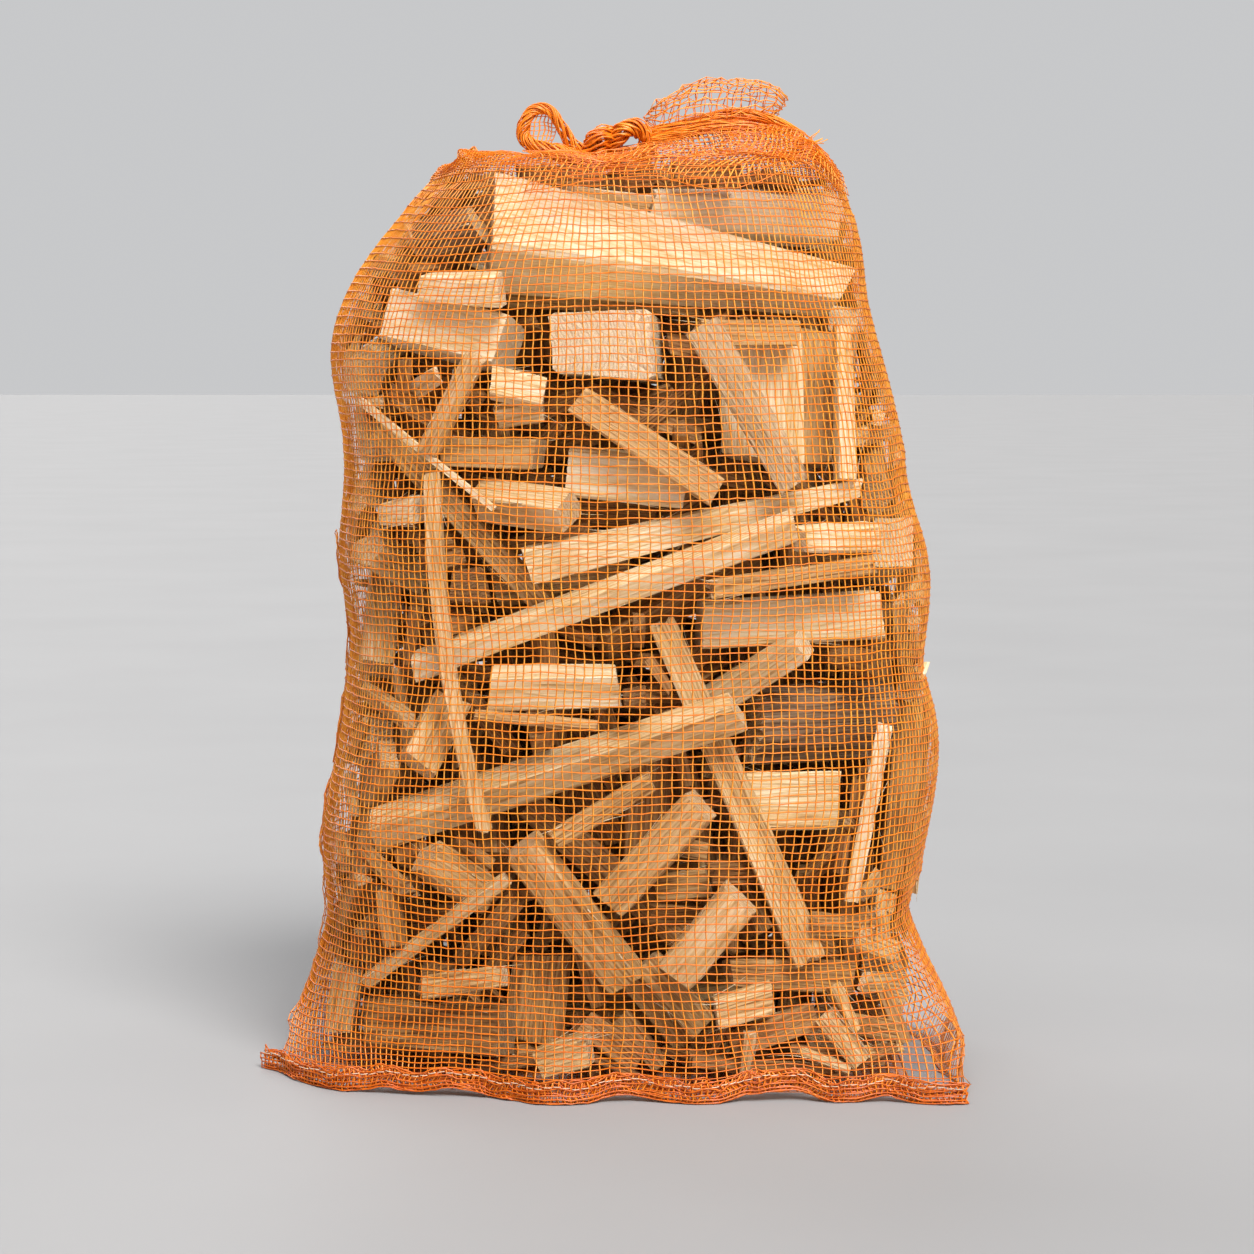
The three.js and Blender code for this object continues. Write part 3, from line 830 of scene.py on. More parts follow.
woods = {
    "fresh": wood_material(
        "fresh_wood",
        [
            (0.03, (0.24, 0.105, 0.03)),
            (0.27, (0.50, 0.28, 0.10)),
            (0.52, (0.77, 0.53, 0.25)),
            (0.75, (0.91, 0.72, 0.43)),
            (0.97, (0.98, 0.87, 0.66)),
        ],
        [(0.1, (0.42, 0.24, 0.10)), (0.4, (0.80, 0.61, 0.37)), (0.75, (0.97, 0.87, 0.68))],
    ),
    "honey": wood_material(
        "honey_wood",
        [
            (0.04, (0.17, 0.07, 0.018)),
            (0.3, (0.38, 0.20, 0.068)),
            (0.54, (0.62, 0.385, 0.16)),
            (0.8, (0.81, 0.57, 0.29)),
            (0.98, (0.92, 0.74, 0.48)),
        ],
        [(0.1, (0.32, 0.17, 0.07)), (0.45, (0.68, 0.48, 0.26)), (0.8, (0.9, 0.76, 0.54))],
    ),
    "tan": wood_material(
        "tan_wood",
        [
            (0.05, (0.11, 0.042, 0.011)),
            (0.32, (0.27, 0.13, 0.042)),
            (0.55, (0.47, 0.26, 0.095)),
            (0.8, (0.68, 0.44, 0.20)),
        ],
        [(0.1, (0.2, 0.11, 0.05)), (0.45, (0.5, 0.33, 0.17)), (0.8, (0.75, 0.56, 0.34))],
    ),
    # Painted shade: darker stops for the wood deep inside the sack, standing in for the shade there.
    "brown": wood_material(
        "painted_shade_wood",
        [
            (0.05, (0.07, 0.024, 0.006)),
            (0.32, (0.19, 0.08, 0.024)),
            (0.55, (0.34, 0.165, 0.058)),
            (0.85, (0.52, 0.30, 0.125)),
        ],
        [(0.1, (0.12, 0.05, 0.016)), (0.45, (0.27, 0.14, 0.05)), (0.8, (0.42, 0.25, 0.11))],
    ),
    "grey": wood_material(
        "grey_wood",
        [
            (0.05, (0.12, 0.068, 0.028)),
            (0.35, (0.29, 0.18, 0.085)),
            (0.6, (0.47, 0.325, 0.175)),
            (0.85, (0.68, 0.51, 0.31)),
        ],
        [(0.1, (0.2, 0.15, 0.1)), (0.45, (0.45, 0.36, 0.26)), (0.8, (0.66, 0.55, 0.42))],
    ),
    "bark": wood_material(
        "bark_wood",
        [
            (0.05, (0.025, 0.014, 0.008)),
            (0.35, (0.085, 0.048, 0.026)),
            (0.6, (0.18, 0.105, 0.058)),
            (0.9, (0.34, 0.22, 0.13)),
        ],
        [(0.1, (0.3, 0.18, 0.09)), (0.45, (0.62, 0.44, 0.25)), (0.8, (0.86, 0.7, 0.47))],
        roughness=0.85,
        bump=1.0,
    ),
}


def yarn_material(name, dark, mid, light, roughness=0.36, yarn=True):
    """Drawn plastic tape: glossy, uneven in colour along each yarn, lighter where it is thin."""
    material, shader, node, connect = graph(name)
    where = node("ShaderNodeTexCoord", out=3)
    patches = node("ShaderNodeTexNoise", {"Vector": where, "Scale": 90.0, "Detail": 2.0})
    flecks = node("ShaderNodeTexNoise", {"Vector": where, "Scale": 900.0, "Detail": 2.0})
    level = sum_of(node, (patches, 0.9), (flecks, 0.8), -0.55)
    if yarn:
        # The yarn attribute is 1 for warp and 0 for weft, less the painted shade near the floor.
        kind = node("ShaderNodeAttribute", attribute_name="yarn", out=2)
        level = sum_of(node, (kind, 0.45), (level, 1.0))
    connect(ramp(node, level, [(0.0, dark), (0.45, mid), (1.0, light)]), "Base Color")
    shader.inputs["Roughness"].default_value = roughness
    lift = node("ShaderNodeBump", {"Height": flecks, "Strength": 0.3, "Distance": 0.2 * MM})
    connect(lift, "Normal")
    return material


netting_look = yarn_material(
    "netting", (0.70, 0.135, 0.003), (0.89, 0.24, 0.007), (0.96, 0.43, 0.055)
)
hem_look = yarn_material("hem_netting", (0.57, 0.098, 0.002), (0.80, 0.19, 0.004), (0.92, 0.35, 0.025))
thread_look = yarn_material(
    "sewing_thread", (0.60, 0.42, 0.28), (0.78, 0.62, 0.46), (0.88, 0.78, 0.64), 0.6, yarn=False
)

# ---- The wood, built ----

# Set tones for single sticks, in place of the painted shade by height. upper_right_log's 1.0 is a painted
# highlight that lifts it out of the shade of the net above it.
SET_TONES_AND_HIGHLIGHT = {
    "bright_left_block": 0.8,
    "top_log": 0.66,
    "upper_right_log": 1.0,
    "white_end_log": 0.8,
    "bright_side_slip": 0.7,
    "low_bright_end_stick": 0.6,
}


def tone_and_painted_shade_at(z):
    """Painted shade: wood is given a darker tone the lower it lies in the sack, standing in for less
    light near the floor, plus a random tone for each stick.
    """
    return np.interp(z / MM, (0, 90, 200, 470), (0.0, 0.12, 0.45, 0.72)) + rng.uniform(-0.13, 0.13)


for name, stick in sticks.items():
    wood = next((w for w, names in STICK_WOODS.items() if name in names), "fresh")
    shape = Shape()
    tone = SET_TONES_AND_HIGHLIGHT.get(name, tone_and_painted_shade_at(stick.centre[2]))
    add_stick(shape, stick, tone, rough=2.2 if wood == "bark" or name in TORN_ENDS else 1.0)
    shape.build("wood." + name, woods[wood], replaces=(name,), sharp=32)

for wood, pieces in front_sticks.items():
    shape = Shape()
    for piece in pieces:
        add_stick(shape, piece, tone_and_painted_shade_at(piece.centre[2]) + 0.05)
    shape.build("small_wood." + wood, woods[wood], sharp=32)

for part, wood in enumerate(("honey", "fresh", "honey", "tan")):
    shape = Shape()
    for piece in fill_sticks["outer"][part::4]:
        add_stick(shape, piece, tone_and_painted_shade_at(piece.centre[2]) - 0.08, step=1.5)
    shape.build(f"outer_wood.{part}", woods[wood], sharp=32)
# Painted shade: the inner wood takes the darker brown stops that stand in for the shade deep in the sack.
shape = Shape()
for piece in fill_sticks["inner"]:
    add_stick(shape, piece, rng.uniform(0.1, 0.5), step=4.0)
shape.build("inner_wood", woods["brown"], sharp=32)

# ---- The net ----

CELL = 4.2 * MM
COLUMNS = 248
SIDE_DENSITY = 0.8
DOME_START = 472 * MM
DOME_ROWS = 15
WARP = (0.98 * MM, 0.55 * MM, 3)
WEFT = (0.92 * MM, 0.55 * MM, 3)
SLACK_HEIGHT = 100 * MM

knot_low, knot_high = (np.array(c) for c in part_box("mouth_knot"))
neck = np.array([*(knot_low + knot_high)[:2] / 2, knot_low[2] - 5 * MM])
# The ridge in which the gathered mouth stands: x and height, in millimetres.
RIDGE = [
    (-104, 460),
    (-90, 478),
    (-76, 492),
    (-10, 484),
    (24, 493),
    (46, 500),
    (84, 502),
    (98, 499),
    (112, 485),
    (126, 462),
]
RIDGE_DEPTH = 78 * MM
RIDGE_SHARE = 0.86
# Places where the sides stand out from the CAD sack, or pull in: height, reach up and down, and
# how far on the left and on the right, in millimetres.
BULGES = [
    (18, 29, 21, 36),
    (84, 13, -4, -8),
    (122, 28, 7, 0),
    (173, 14, 0, 3),
    (216, 16, 0, -8),
    (275, 13, 5, 4),
    (310, 14, -3, -4),
    (388, 14, 11, 0),
    (412, 18, 2, -4),
    (456, 14, 0, 4),
]


def side_bulge(x, z):
    """How far the side that x lies on stands out at height z, in millimetres."""
    return sum(
        np.where(x > 0, right, left) * np.exp(-(((z / MM - middle) / reach) ** 2))
        for middle, reach, left, right in BULGES
    )


RING_POINTS = 720


def level_ring(z):
    """Crossings round the sack at one height, equally spaced on each half from the front."""
    turns = np.linspace(-np.pi / 2, 1.5 * np.pi, RING_POINTS + 1)
    points = skin.wall(turns, np.full(RING_POINTS + 1, z))
    steps = np.linalg.norm(np.diff(points, axis=0), axis=1)
    steps *= 1 + SIDE_DENSITY * np.cos(turns[:-1]) ** 4
    back = RING_POINTS // 2
    halves = []
    for half, part in ((points[: back + 1], steps[:back]), (points[back:], steps[back:])):
        run = np.concatenate([[0], np.cumsum(part)])
        at = np.linspace(0, run[-1], COLUMNS // 2 + 1)[:-1]
        halves.append(np.stack([np.interp(at, run, half[:, k]) for k in range(3)], 1))
    return np.concatenate(halves)


def wall_grid():
    """Rows of crossings from the floor to the neck."""
    rows = [level_ring(z) for z in np.arange(1.2 * MM, DOME_START, CELL)]
    base = level_ring(DOME_START)
    middle_x = (base[:, 0].min() + base[:, 0].max()) / 2
    rise = neck[2] - DOME_START
    for t in np.linspace(0, 1, DOME_ROWS + 1):
        turn = t * np.pi / 2
        reach = max(math.cos(turn) ** 0.7, 0.03)
        ring = base * reach + neck * (1 - reach)
        ring[:, 0] = middle_x + (base[:, 0] - middle_x) * (1 - (1 - RIDGE_SHARE) * (1 - reach))
        ring[:, 2] = DOME_START + rise * math.sin(turn) ** 0.8
        lift = np.interp(ring[:, 0] / MM, *zip(*RIDGE)) * MM - ring[:, 2]
        near = np.clip(1 - np.abs(ring[:, 1] - neck[1]) / RIDGE_DEPTH, 0, 1)
        ring[:, 2] += np.maximum(lift, 0) * near**0.6
        rows.append(ring)
    return np.array(rows)


def grid_normals(grid, closed):
    across = np.roll(grid, -1, 1) - np.roll(grid, 1, 1) if closed else np.gradient(grid, axis=1)
    up = np.gradient(grid, axis=0)
    return unit(np.cross(across, up))


start = wall_grid()
normals = grid_normals(start, True)
rows = len(start)
side_on = np.abs(normals[..., 0])
height = start[..., 2]
sag = np.where(height > 430 * MM, 5, 13 - 2 * side_on**2) * MM
bulge = side_bulge(start[..., 0], height)

# Slack: crossings wander within the net, most of all near the floor and at the gathered top.
place = start / (38 * MM)
low_slack = np.clip(1 - height / SLACK_HEIGHT, 0, 1)
top_slack = np.clip((height - 440 * MM) / (40 * MM), 0, 1)
sideways = unit(np.roll(start, -1, 1) - np.roll(start, 1, 1))
upward = unit(np.gradient(start, axis=0))
wander = 3.0 + 7.0 * low_slack**1.5 + 2.5 * top_slack
net = start.copy()
net += sideways * (wander * noise(place, 11) * MM)[..., None]
net += upward * ((2.6 + 1.0 * low_slack + 1.0 * top_slack) * noise(place, 12) * MM)[..., None]
net += sideways * (0.9 * noise(start / (15 * MM), 15) * MM)[..., None]
net += upward * (0.9 * noise(start / (15 * MM), 16) * MM)[..., None]
lumps = noise(start / (24 * MM), 13) + 0.5 * noise(start / (11 * MM), 14) - 0.5
net += normals * ((1.9 * lumps + bulge * side_on**3) * MM)[..., None]
goal = net.copy()

# The sewn edge holds the front of the net; its back edge turns under the sack.
hem_points = node_mesh("bottom_hem")[0]
HEM_BINS = 46
edges = np.linspace(hem_points[:, 0].min(), hem_points[:, 0].max(), HEM_BINS + 1)
hem_line = []
for a, b in zip(edges[:-1], edges[1:]):
    inside = hem_points[(hem_points[:, 0] >= a - 4 * MM) & (hem_points[:, 0] <= b + 4 * MM)]
    low = inside[:, 2].min()
    hem_line.append([(a + b) / 2, np.median(inside[:, 1]), low])
hem_line = np.array(hem_line)
hem_line[0, 0] = edges[0] + 1 * MM
hem_line[-1, 0] = edges[-1] - 1 * MM
front_edge = normals[0, :, 1] < -0.12
edge_x = start[0, :, 0]
on_hem = np.stack(
    [
        edge_x,
        np.interp(edge_x, hem_line[:, 0], hem_line[:, 1]),
        np.interp(edge_x, hem_line[:, 0], hem_line[:, 2]) + 9 * MM,
    ],
    -1,
)
HEM_ROWS = 8
for i in range(HEM_ROWS):
    pull = (1 - i / HEM_ROWS) ** 1.5
    target = on_hem + (0, 0, i * CELL)
    blend = (pull * front_edge)[:, None]
    goal[i] = goal[i] * (1 - blend) + target * blend
net = goal.copy()


TOUCH_GAP = 1.0 * MM
TIGHTEN_STEPS = 90


def tighten(net, goal, steps):
    """Draws the net tight over the wood, within its slack."""
    pinned_low, pinned_high = 1, rows - 3
    for _ in range(steps):
        round_about = np.roll(net, 1, 1) + np.roll(net, -1, 1)
        up_down = net[2:] + net[:-2]
        pull = (round_about[1:-1] + up_down) / 4 - net[1:-1]
        moved = net[1:-1] + 0.6 * pull
        away = ((goal[1:-1] - moved) * normals[1:-1]).sum(-1)
        slide = goal[1:-1] - moved - away[..., None] * normals[1:-1]
        moved += 0.06 * slide
        over = np.maximum(away - sag[1:-1], 0) + np.minimum(away + 1 * MM, 0)
        moved += over[..., None] * normals[1:-1]
        flat = moved.reshape(-1, 3)
        gap = room.gap(flat)
        near = gap < TOUCH_GAP
        lift = (TOUCH_GAP - gap[near])[:, None] * 0.7
        flat[near] += lift * room.push(flat[near])
        moved = flat.reshape(moved.shape)
        net[pinned_low : pinned_high + 1] = moved[pinned_low - 1 : pinned_high]
    return net


net = tighten(net, goal, TIGHTEN_STEPS)
net += (rng.uniform(-1, 1, net.shape) * 0.28 * MM) * (height[..., None] > 6 * MM)

# Folds of the gathered mouth.
fold_turn = np.arange(COLUMNS) / COLUMNS * 2 * np.pi
fold_place = np.stack(
    [
        np.broadcast_to(np.cos(fold_turn) * 5, height.shape),
        np.broadcast_to(np.sin(fold_turn) * 5, height.shape),
        height / (16 * MM),
    ],
    -1,
)
fold = (noise(fold_place, 21) + 0.7 * noise(fold_place * 2.3, 22)) * top_slack
fold *= np.clip((rows - 1 - np.arange(rows)) / 6, 0, 1)[:, None]
net += normals * (fold * 2.5 * MM)[..., None]
net[..., 2] = np.maximum(net[..., 2], 0.8 * MM)


def net_painted_shade(z):
    """Painted shade by height: how much darker the net's yarns are made towards its foot, standing in for
    less light near the floor.
    """
    return 0.5 * np.clip(1 - z.ravel() / (150 * MM), 0, 1)


def netting(shape, grid, outward, warp=WARP, weft=WEFT, last=True):
    """Adds the yarns of a grid of crossings, rows x columns, in both directions. The last column
    is left out where the next panel has it."""
    width, thick, sides = warp
    lean = noise(grid / (9 * MM), 31)[..., None]
    count = grid.shape[1] - (0 if last else 1)
    columns = [a[:, :count].transpose(1, 0, 2) for a in (grid, outward, lean)]
    turned = width * (0.9 + 0.4 * columns[2])
    points, faces = tube_mesh(columns[0], columns[1], turned, thick, sides)
    # Both yarn directions are darkened by the painted shade near the floor.
    shape.add(points, faces, yarn=1.0 - net_painted_shade(points[..., 2]))
    width, thick, sides = weft
    lifted = grid + outward * (0.3 * MM)
    points, faces = tube_mesh(lifted, outward, width * (0.85 - 0.3 * lean), thick, sides)
    shape.add(points, faces, yarn=-net_painted_shade(points[..., 2]))


net_normals = grid_normals(net, True)
quarter = COLUMNS // 4
for k, side in enumerate(("front_right", "back_right", "back_left", "front_left")):
    columns = np.arange(k * quarter, (k + 1) * quarter + 1) % COLUMNS
    shape = Shape()
    netting(shape, net[:, columns], net_normals[:, columns], last=False)
    name = "net." + side
    shape.build(name, netting_look, replaces=("net_bag",) if k == 0 else ())

# The net under the sack, from edge to edge.
BASE_CELL = 4.6 * MM
base_low, base_high = (np.array(c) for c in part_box("net_bag"))
shape = Shape()
for axis in (0, 1):
    for at in np.arange(base_low[axis] + 6 * MM, base_high[axis], BASE_CELL):
        run = np.arange(base_low[1 - axis], base_high[1 - axis], 4 * MM)
        line = np.zeros((len(run), 3))
        line[:, axis], line[:, 1 - axis] = at, run
        line[:, 2] = (0.7 + 0.5 * axis) * MM
        probe_line = line + (0, 0, 1 * MM)
        flat = probe_line[:, :2] - skin.axis
        turn = np.arctan2(flat[:, 1], flat[:, 0])
        inside = np.linalg.norm(flat, axis=1) < skin.radius(turn, probe_line[:, 2]) - 1 * MM
        if inside.sum() < 3:
            continue
        line = line[inside][None]
        up = np.broadcast_to(np.array([0, 0, -1.0]), line.shape)
        points, faces = tube_mesh(line, up, *WARP)
        shape.add(points, faces, yarn=np.zeros(points[..., 0].size))
base_net = shape.build("net.base", netting_look)

# ---- The sewn hem ----

HEM_CELL = 3.1 * MM
hem_path = smooth_path(hem_line, 900)
hem_path[:, 1] += 0.5 * MM * noise(hem_path * (1 / (9 * MM)), 41)
hem_run = np.concatenate([[0], np.cumsum(np.linalg.norm(np.diff(hem_path, axis=0), axis=1))])
hem_count = int(hem_run[-1] / HEM_CELL)
shape = Shape()
for layer, (out, shift) in enumerate(((1.5, 0.0), (0.6, 0.6), (-0.4, 0.3), (-1.4, 0.8))):
    at = (np.arange(hem_count) + shift) * HEM_CELL
    base = np.stack([np.interp(at, hem_run, hem_path[:, k]) for k in range(3)], -1)
    along = unit(np.gradient(base, axis=0) * (1, 1, 0))
    side = np.stack([along[:, 1], -along[:, 0], np.zeros(len(at))], -1)
    levels = (np.array([0.8, 2.4, 4.8, 7.4, 10.2]) + (0, 0, *rng.uniform(-0.9, 0.9, 3))) * MM
    wobble = noise(np.column_stack([at / (7 * MM), at * 0, at * 0 + layer * 5]), 42)
    grid = []
    for i, level in enumerate(levels):
        sway = noise(np.column_stack([at / (8 * MM), at * 0 + i * 3.3, at * 0 + 7 * layer]), 43)
        row = base + side * ((out + 1.0 * sway) * MM)[:, None]
        row[:, 2] += level * (1 + 0.2 * wobble) + (0.4 + 0.25 * i) * MM * sway
        row += along * (2.2 * MM * sway)[:, None]
        grid.append(row)
    grid = np.array(grid) + rng.uniform(-1, 1, (len(levels), hem_count, 3)) * 0.3 * MM
    grid[..., 2] = np.maximum(grid[..., 2], 0.7 * MM)
    outward = np.broadcast_to(side, grid.shape)
    netting(shape, grid, outward, (0.95 * MM, 0.6 * MM, 4), (1.0 * MM, 0.7 * MM, 4))
hem = shape.build("hem", hem_look, replaces=("bottom_hem",))

STITCH = 4.6 * MM
shape = Shape()
at = np.arange(3 * MM, hem_run[-1] - 6 * MM, STITCH)
for k, start_at in enumerate(at):
    span = start_at + np.linspace(0, 0.86 * STITCH, 6)
    base = np.stack([np.interp(span, hem_run, hem_path[:, i]) for i in range(3)], -1)
    along = unit(base[-1] - base[0])
    side = np.array([along[1], -along[0], 0])
    bulge = np.sin(np.linspace(0, np.pi, 6))[:, None]
    line = base + side * (2.1 + 0.45 * bulge) * MM
    line[:, 2] += (9.0 + 0.7 * math.sin(k * 1.3)) * MM
    points, faces = tube_mesh(line[None], np.broadcast_to(side, line[None].shape), 0.42 * MM, 0.4 * MM, 5)
    shape.add(points, faces)
thread = shape.build("hem_thread", thread_look)

# ---- Knot, loop, ear and folds at the mouth ----


def path_frames(path):
    """Two directions across a path that turn as little as they can along it."""
    along = unit(np.gradient(path, axis=0))
    first = unit(np.cross(along[0], (0.3, 1.0, 0.2)))
    frames = [first]
    for a in along[1:]:
        first = unit(first - a * (first @ a))
        frames.append(first)
    first = np.array(frames)
    return first, np.cross(along, first)


def rope(shape, points, radius, strands, turns, yarn=0.75 * MM, seed=0):
    """A bunch of net twisted together: strands wind round a path in two layers."""
    count = max(24, int(np.linalg.norm(np.diff(points, axis=0), axis=1).sum() / (1.1 * MM)))
    path = smooth_path(points, count)
    radius = np.interp(np.linspace(0, 1, count), np.linspace(0, 1, len(radius)), radius)
    across, up = path_frames(path)
    run = np.linspace(0, 1, count)
    for layer, number, share in ((0, 2 * strands, 1.0), (1, strands, 0.65)):
        start_turn = np.arange(number)[:, None] / number * 2 * np.pi
        key = np.stack(
            [
                np.broadcast_to(start_turn * 3, (number, count)),
                np.broadcast_to(run * 9, (number, count)),
                np.full((number, count), seed * 7.0 + layer),
            ],
            -1,
        )
        turn = start_turn + run * turns * 2 * np.pi + 0.5 * noise(key, 51)
        swell = radius * share * (1 + 0.3 * noise(key * 1.7, 52))
        out = np.cos(turn)[..., None] * across + np.sin(turn)[..., None] * up
        lines = path + out * swell[..., None]
        made, faces = tube_mesh(lines, out, yarn * 1.25, yarn * 0.7, 4)
        shape.add(made, faces, yarn=np.clip(0.3 + 0.6 * noise(key, 53), 0, 1).repeat(4))


def about(node, *points):
    """Points given in millimetres from the middle of a CAD node's box."""
    low, high = (np.array(c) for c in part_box(node))
    return (low + high) / 2 + np.array(points) * MM


KNOT_YARN = 1.15 * MM
shape = Shape()
knot_path = about(
    "mouth_knot", (-12, -2, -15), (-11, -7, -9), (-8, -9, -3), (-3, -4, 0), (-1, 2, -4), (0, -6, -9)
)
rope(shape, knot_path, np.array([4.5, 5.6, 6, 5.6, 5, 4.5]) * MM, 13, 1.1, KNOT_YARN, 1)
ring_path = about(
    "mouth_knot",
    (-2, -3, -9),
    (2, -6, -1),
    (9, -7, 5),
    (17, -5, 2),
    (19, -2, -6),
    (12, 2, -9),
    (3, 1, -8),
)
rope(shape, ring_path, np.array([3.8, 4.5, 4.5, 4.3, 4.2, 3.8, 3.4]) * MM, 11, 1.6, KNOT_YARN, 2)
collar_path = about(
    "mouth_knot", (-34, -7, -9), (-22, -10, -11), (-8, -13, -13), (6, -12, -13), (20, -10, -9)
)
rope(shape, collar_path, np.array([2.6, 3.4, 4.2, 4.0, 3.4]) * MM, 11, 0.9, KNOT_YARN, 3)
knot = shape.build("knot", hem_look, replaces=("mouth_knot",))

shape = Shape()
loop_path = about(
    "left_loop",
    (22, 4, -12),
    (15, 1, -8),
    (9, -1, 2),
    (3, -1, 10),
    (-5, -1, 10.5),
    (-10, -1, 4),
    (-11, -1, -4),
    (-4, -1, -9),
    (6, -2, -11),
    (16, -3, -13),
)
rope(shape, loop_path, np.array([4.0, 3.4, 2.8, 2.6, 2.8, 3.0, 3.2, 3.4, 3.4, 3.6]) * MM, 12, 2.2, seed=4)
fan = []
for t in np.linspace(-1, 1, 8):
    row = []
    for s in np.linspace(-1, 1, 8):
        x = -1.5 + 8.5 * s * math.sqrt(1 - 0.35 * t * t) + 1.6 * t
        z = 0.5 + 9.5 * t * math.sqrt(1 - 0.4 * s * s)
        row.append((x, 1.5 * math.sin(2.5 * s + t), z))
    fan.append(row)
fan = about("left_loop", *np.array(fan).reshape(-1, 3)).reshape(8, 8, 3)
fan += noise(fan / (5 * MM), 61)[..., None] * 1.3 * MM
netting(shape, fan, -grid_normals(fan, False), (0.9 * MM, 0.5 * MM, 4), (0.8 * MM, 0.5 * MM, 4))
loop = shape.build("loop", netting_look, replaces=("left_loop",))

# The ear: a flattened pouch of net that stands up to the right of the knot.
shape = Shape()
ear_low, ear_high = (np.array(c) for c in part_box("right_ear"))
EAR_ROWS, EAR_COLUMNS = 18, 23
ear_middle, ear_half = (ear_low + ear_high) / 2, (ear_high - ear_low) / 2
turns = np.arange(EAR_COLUMNS + 1) / EAR_COLUMNS * 2 * np.pi
grid = []
for t in np.linspace(-0.97, 0.98, EAR_ROWS):
    girth = (1 - abs(t) ** 2.6) ** 0.5
    rise = 0.92 + 0.12 * t - 0.25 * (t < -0.5) * (abs(t) - 0.5)
    ring = np.stack(
        [
            0.97 * t + 0.06 * np.sin(turns),
            np.cos(turns) * girth * 0.95,
            np.sin(turns) * girth * np.where(np.sin(turns) > 0, rise, 1.0),
        ],
        -1,
    )
    grid.append(ring)
grid = np.array(grid)
grid[..., 2] -= 0.75 * np.maximum(-grid[..., 0] - 0.35, 0) + 0.15 * np.maximum(grid[..., 0] - 0.6, 0)
pouch = ear_middle + grid * ear_half
pouch += noise(pouch / (13 * MM), 62)[..., None] * 3.0 * MM * grid_normals(pouch, False)
pouch += rng.uniform(-1, 1, pouch.shape) * 1.3 * MM
pouch[:, -1] = pouch[:, 0]
netting(shape, pouch, -grid_normals(pouch, False), (0.85 * MM, 0.45 * MM, 4), (0.8 * MM, 0.5 * MM, 4))
band_path = about(
    "right_ear",
    (-38, -4, -17),
    (-26, -7, -14),
    (-12, -8, -11),
    (4, -8, -7),
    (18, -7, -6),
    (30, -5, -8),
    (40, -3, -12),
    (48, -1, -16),
)
rope(shape, band_path, np.array([3.0, 3.2, 3.6, 3.6, 3.2, 2.6, 2.0, 1.2]) * MM, 14, 0.35, seed=5)
under_path = about(
    "right_ear", (-34, -8, -19), (-18, -11, -16), (0, -12, -13), (18, -11, -12), (36, -7, -15)
)
rope(shape, under_path, np.array([2.0, 2.6, 2.8, 2.2, 1.0]) * MM, 11, 0.3, seed=6)


def over_net(row, column, tall, wide, tilt, lift, seed, cells):
    """A loose patch of net that lies over the sack's own, turned and crumpled."""
    v, u = np.meshgrid(*(np.linspace(-1, 1, c) for c in cells), indexing="ij")
    sway = noise(np.stack([u * 2, v * 2, v * 0 + seed], -1), 71)
    r = row + (v + 0.25 * sway) * tall + math.sin(tilt) * u * tall
    c = column + (u + 0.12 * sway) * wide - math.sin(tilt) * v * wide * 0.5
    r = np.clip(r, 0, rows - 1.01)
    a, b = np.floor(r).astype(int), np.floor(c).astype(int)
    s, t = (r - a)[..., None], (c - b)[..., None]

    def sample(grid):
        near, far = b % COLUMNS, (b + 1) % COLUMNS
        low = grid[a, near] * (1 - t) + grid[a, far] * t
        high = grid[a + 1, near] * (1 - t) + grid[a + 1, far] * t
        return low * (1 - s) + high * s

    points, out = sample(net), unit(sample(net_normals))
    crumple = noise(points / (12 * MM) + seed, 72) + 0.5 * noise(points / (5 * MM) + seed, 73)
    points = points + out * ((lift + 1.5 * crumple) * MM)[..., None]
    return points + rng.uniform(-1, 1, points.shape) * 0.25 * MM


TOP_FOLDS = [
    (rows - 9, 17, 8, 30, 0.10, 2.0, 1.0, (18, 48)),
    (rows - 8, 34, 7, 16, -0.45, 3.0, 2.0, (15, 26)),
]
SIDE_FOLDS = [
    (52, -60, 12, 5, 0.15, 0.9, 5.0, (23, 11)),
    (24, -60, 13, 7, -0.20, 1.2, 6.0, (26, 14)),
]
folds_shape = Shape()
for fold_row in TOP_FOLDS + SIDE_FOLDS:
    patch = over_net(*fold_row)
    out = grid_normals(patch, False)
    netting(folds_shape, patch, out, (0.8 * MM, 0.45 * MM, 4), (0.8 * MM, 0.5 * MM, 3))
folds = folds_shape.build("net.folds", netting_look)

# Loose ends at the torn right corner.
FRAY = 22
FRAY_X = 104 * MM
corner = net[rows - 4, np.argmin(np.abs(net[rows - 4, :quarter, 0] - FRAY_X))]
for k in range(FRAY):
    lean = unit(np.array([1.0, rng.uniform(-0.8, 0.6), rng.uniform(-0.5, 1.1)]))
    t = np.linspace(0, 1, 6)[:, None]
    curl = rng.normal(0, 0.25, 3) * t**2
    base = corner + rng.normal(0, 2.5, 3) * MM
    line = base + (lean * t + curl) * rng.uniform(4, 10) * MM
    outward = np.broadcast_to([0, -1.0, 0.2], line[None].shape)
    points, faces = tube_mesh(line[None], outward, 0.6 * MM, 0.35 * MM, 4)
    shape.add(points, faces, yarn=np.full(points[..., 0].size, 0.9))
ear = shape.build("ear", netting_look, replaces=("right_ear",))

# ---- Splinters that stand off the wood ----

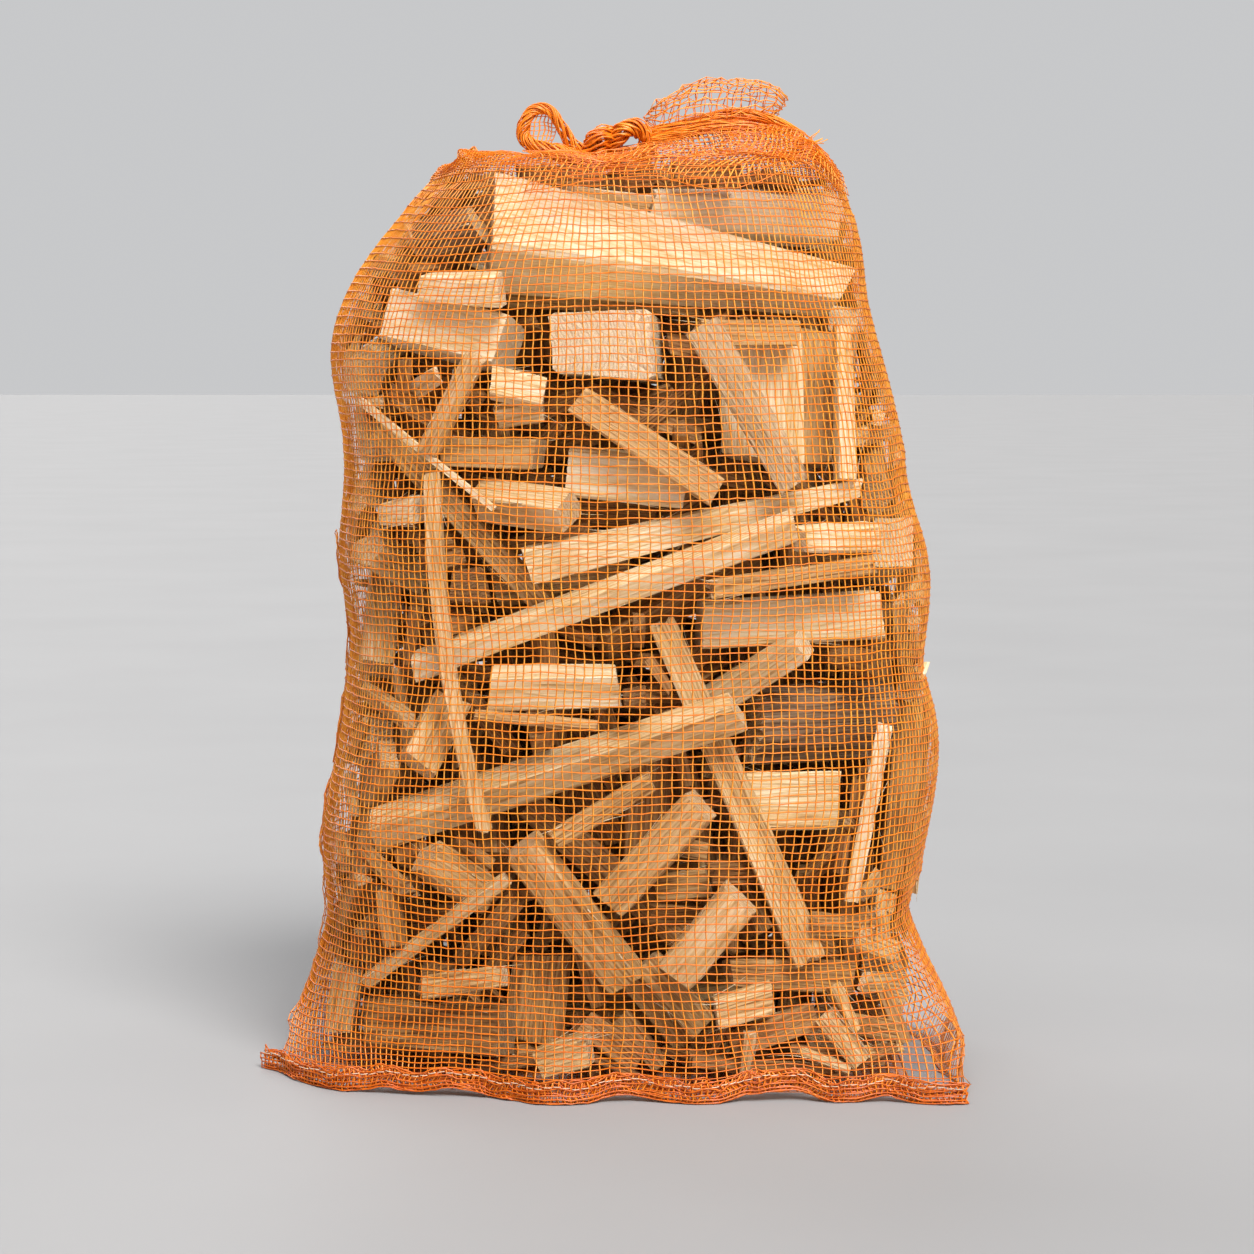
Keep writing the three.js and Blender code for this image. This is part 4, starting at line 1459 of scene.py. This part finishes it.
SPLINTERS = 330
shape = Shape()
hosts = [s for s in sticks.values() if s.centre[1] < 0.02] + front_sticks["fresh"]
for _ in range(SPLINTERS):
    stick = hosts[rng.integers(len(hosts))]
    corner = stick.corners[rng.integers(len(stick.corners))]
    x = rng.uniform(stick.ends[0][0], stick.ends[1][0]) * 0.96
    local = np.array([x, *(corner * 0.97 * (1 + stick.taper * x) + stick.offset(np.array(x)))])
    root_point = stick.place(local)
    out = stick.place(np.array([x, *(corner * 2)])) - stick.place(np.array([x, 0, 0]))
    axis = stick.axes[0] * rng.choice((-1, 1))
    length = rng.uniform(5, 20) * MM
    lean = unit(out) * rng.uniform(0.02, 0.3) + rng.normal(0, 0.08, 3)
    t = np.linspace(0, 1, 5)[:, None]
    line = root_point + (axis * t + lean * t**1.6) * length
    if skin.room(line).min() < -2 * MM:
        continue
    taper = (1 - 0.85 * t) * rng.uniform(0.45, 1.1) * MM
    points, faces = tube_mesh(line[None], np.broadcast_to(out, line[None].shape), taper, taper * 0.5, 3)
    shape.add(
        points,
        faces,
        grain=points.reshape(-1, 3),
        tone=np.full(points[..., 0].size, rng.uniform(0.5, 0.9)),
        face_cut=np.zeros(sum(len(f.reshape(-1, f.shape[-1])) for f in faces)),
    )
splinters = shape.build("splinters", woods["fresh"])

# ---- Floor, light and camera ----

FLOOR_DARK, FLOOR_LIGHT = (0.303, 0.303, 0.309), (0.320, 0.320, 0.326)
BACKDROP = (0.575, 0.58, 0.59)
ROOM_LIGHT = 0.4


def stage_floor():
    mesh = bpy.data.meshes.new("floor")
    half = 40.0
    corners = [(-half, -half, 0), (half, -half, 0), (half, half, 0), (-half, half, 0)]
    mesh.from_pydata(corners, [], [(0, 1, 2, 3)])
    material, shader, node, connect = graph("floor")
    where = node("ShaderNodeTexCoord", out=3)
    mottle = node("ShaderNodeTexNoise", {"Vector": where, "Scale": 3.0, "Detail": 4.0})
    connect(ramp(node, mottle, [(0.3, FLOOR_DARK), (0.7, FLOOR_LIGHT)]), "Base Color")
    shader.inputs["Roughness"].default_value = 0.7
    mesh.materials.append(material)
    floor = bpy.data.objects.new("floor", mesh)
    bpy.context.scene.collection.objects.link(floor)


def soft_light(name, azimuth, elevation, strength, spread, colour=(1, 1, 1)):
    """A distant light as wide as a softbox. Azimuth 0 is the front, and 90 the right."""
    light = bpy.data.lights.new(name, "SUN")
    light.energy = strength
    light.angle = math.radians(spread)
    light.color = colour
    lamp = bpy.data.objects.new(name, light)
    turn, rise = math.radians(azimuth), math.radians(elevation)
    toward = Vector(
        (math.sin(turn) * math.cos(rise), -math.cos(turn) * math.cos(rise), math.sin(rise))
    )
    lamp.rotation_euler = toward.to_track_quat("Z", "Y").to_euler()
    bpy.context.scene.collection.objects.link(lamp)


stage_floor()
soft_light("key", 26, 48, 3.7, 26, (1.0, 0.98, 0.95))
soft_light("top", 10, 74, 1.6, 60)
soft_light("front", 10, 12, 0.6, 50, (1.0, 0.93, 0.85))
soft_light("back", 205, 35, 1.1, 50)
world = bpy.data.worlds.new("studio")
world.use_nodes = True
backdrop = world.node_tree.nodes["Background"].inputs
backdrop["Color"].default_value = (*BACKDROP, 1)
seen = world.node_tree.nodes.new("ShaderNodeLightPath").outputs["Is Camera Ray"]
level = world.node_tree.nodes.new("ShaderNodeMapRange")
level.inputs["To Min"].default_value = ROOM_LIGHT
level.inputs["To Max"].default_value = 1.0
world.node_tree.links.new(seen, level.inputs["Value"])
world.node_tree.links.new(level.outputs["Result"], backdrop["Strength"])
bpy.context.scene.world = world
bpy.context.scene.view_settings.view_transform = "Standard"

LENS = 85.0
EYE = (0.009, -1.5965, 0.3737)
PITCH = math.radians(-5)
camera = bpy.data.cameras.new("camera")
camera.lens = LENS
camera.sensor_width = 36.0
eye = bpy.data.objects.new("camera", camera)
eye.location = EYE
eye.rotation_euler = (math.pi / 2 + PITCH, 0, 0)
bpy.context.scene.collection.objects.link(eye)
bpy.context.scene.camera = eye
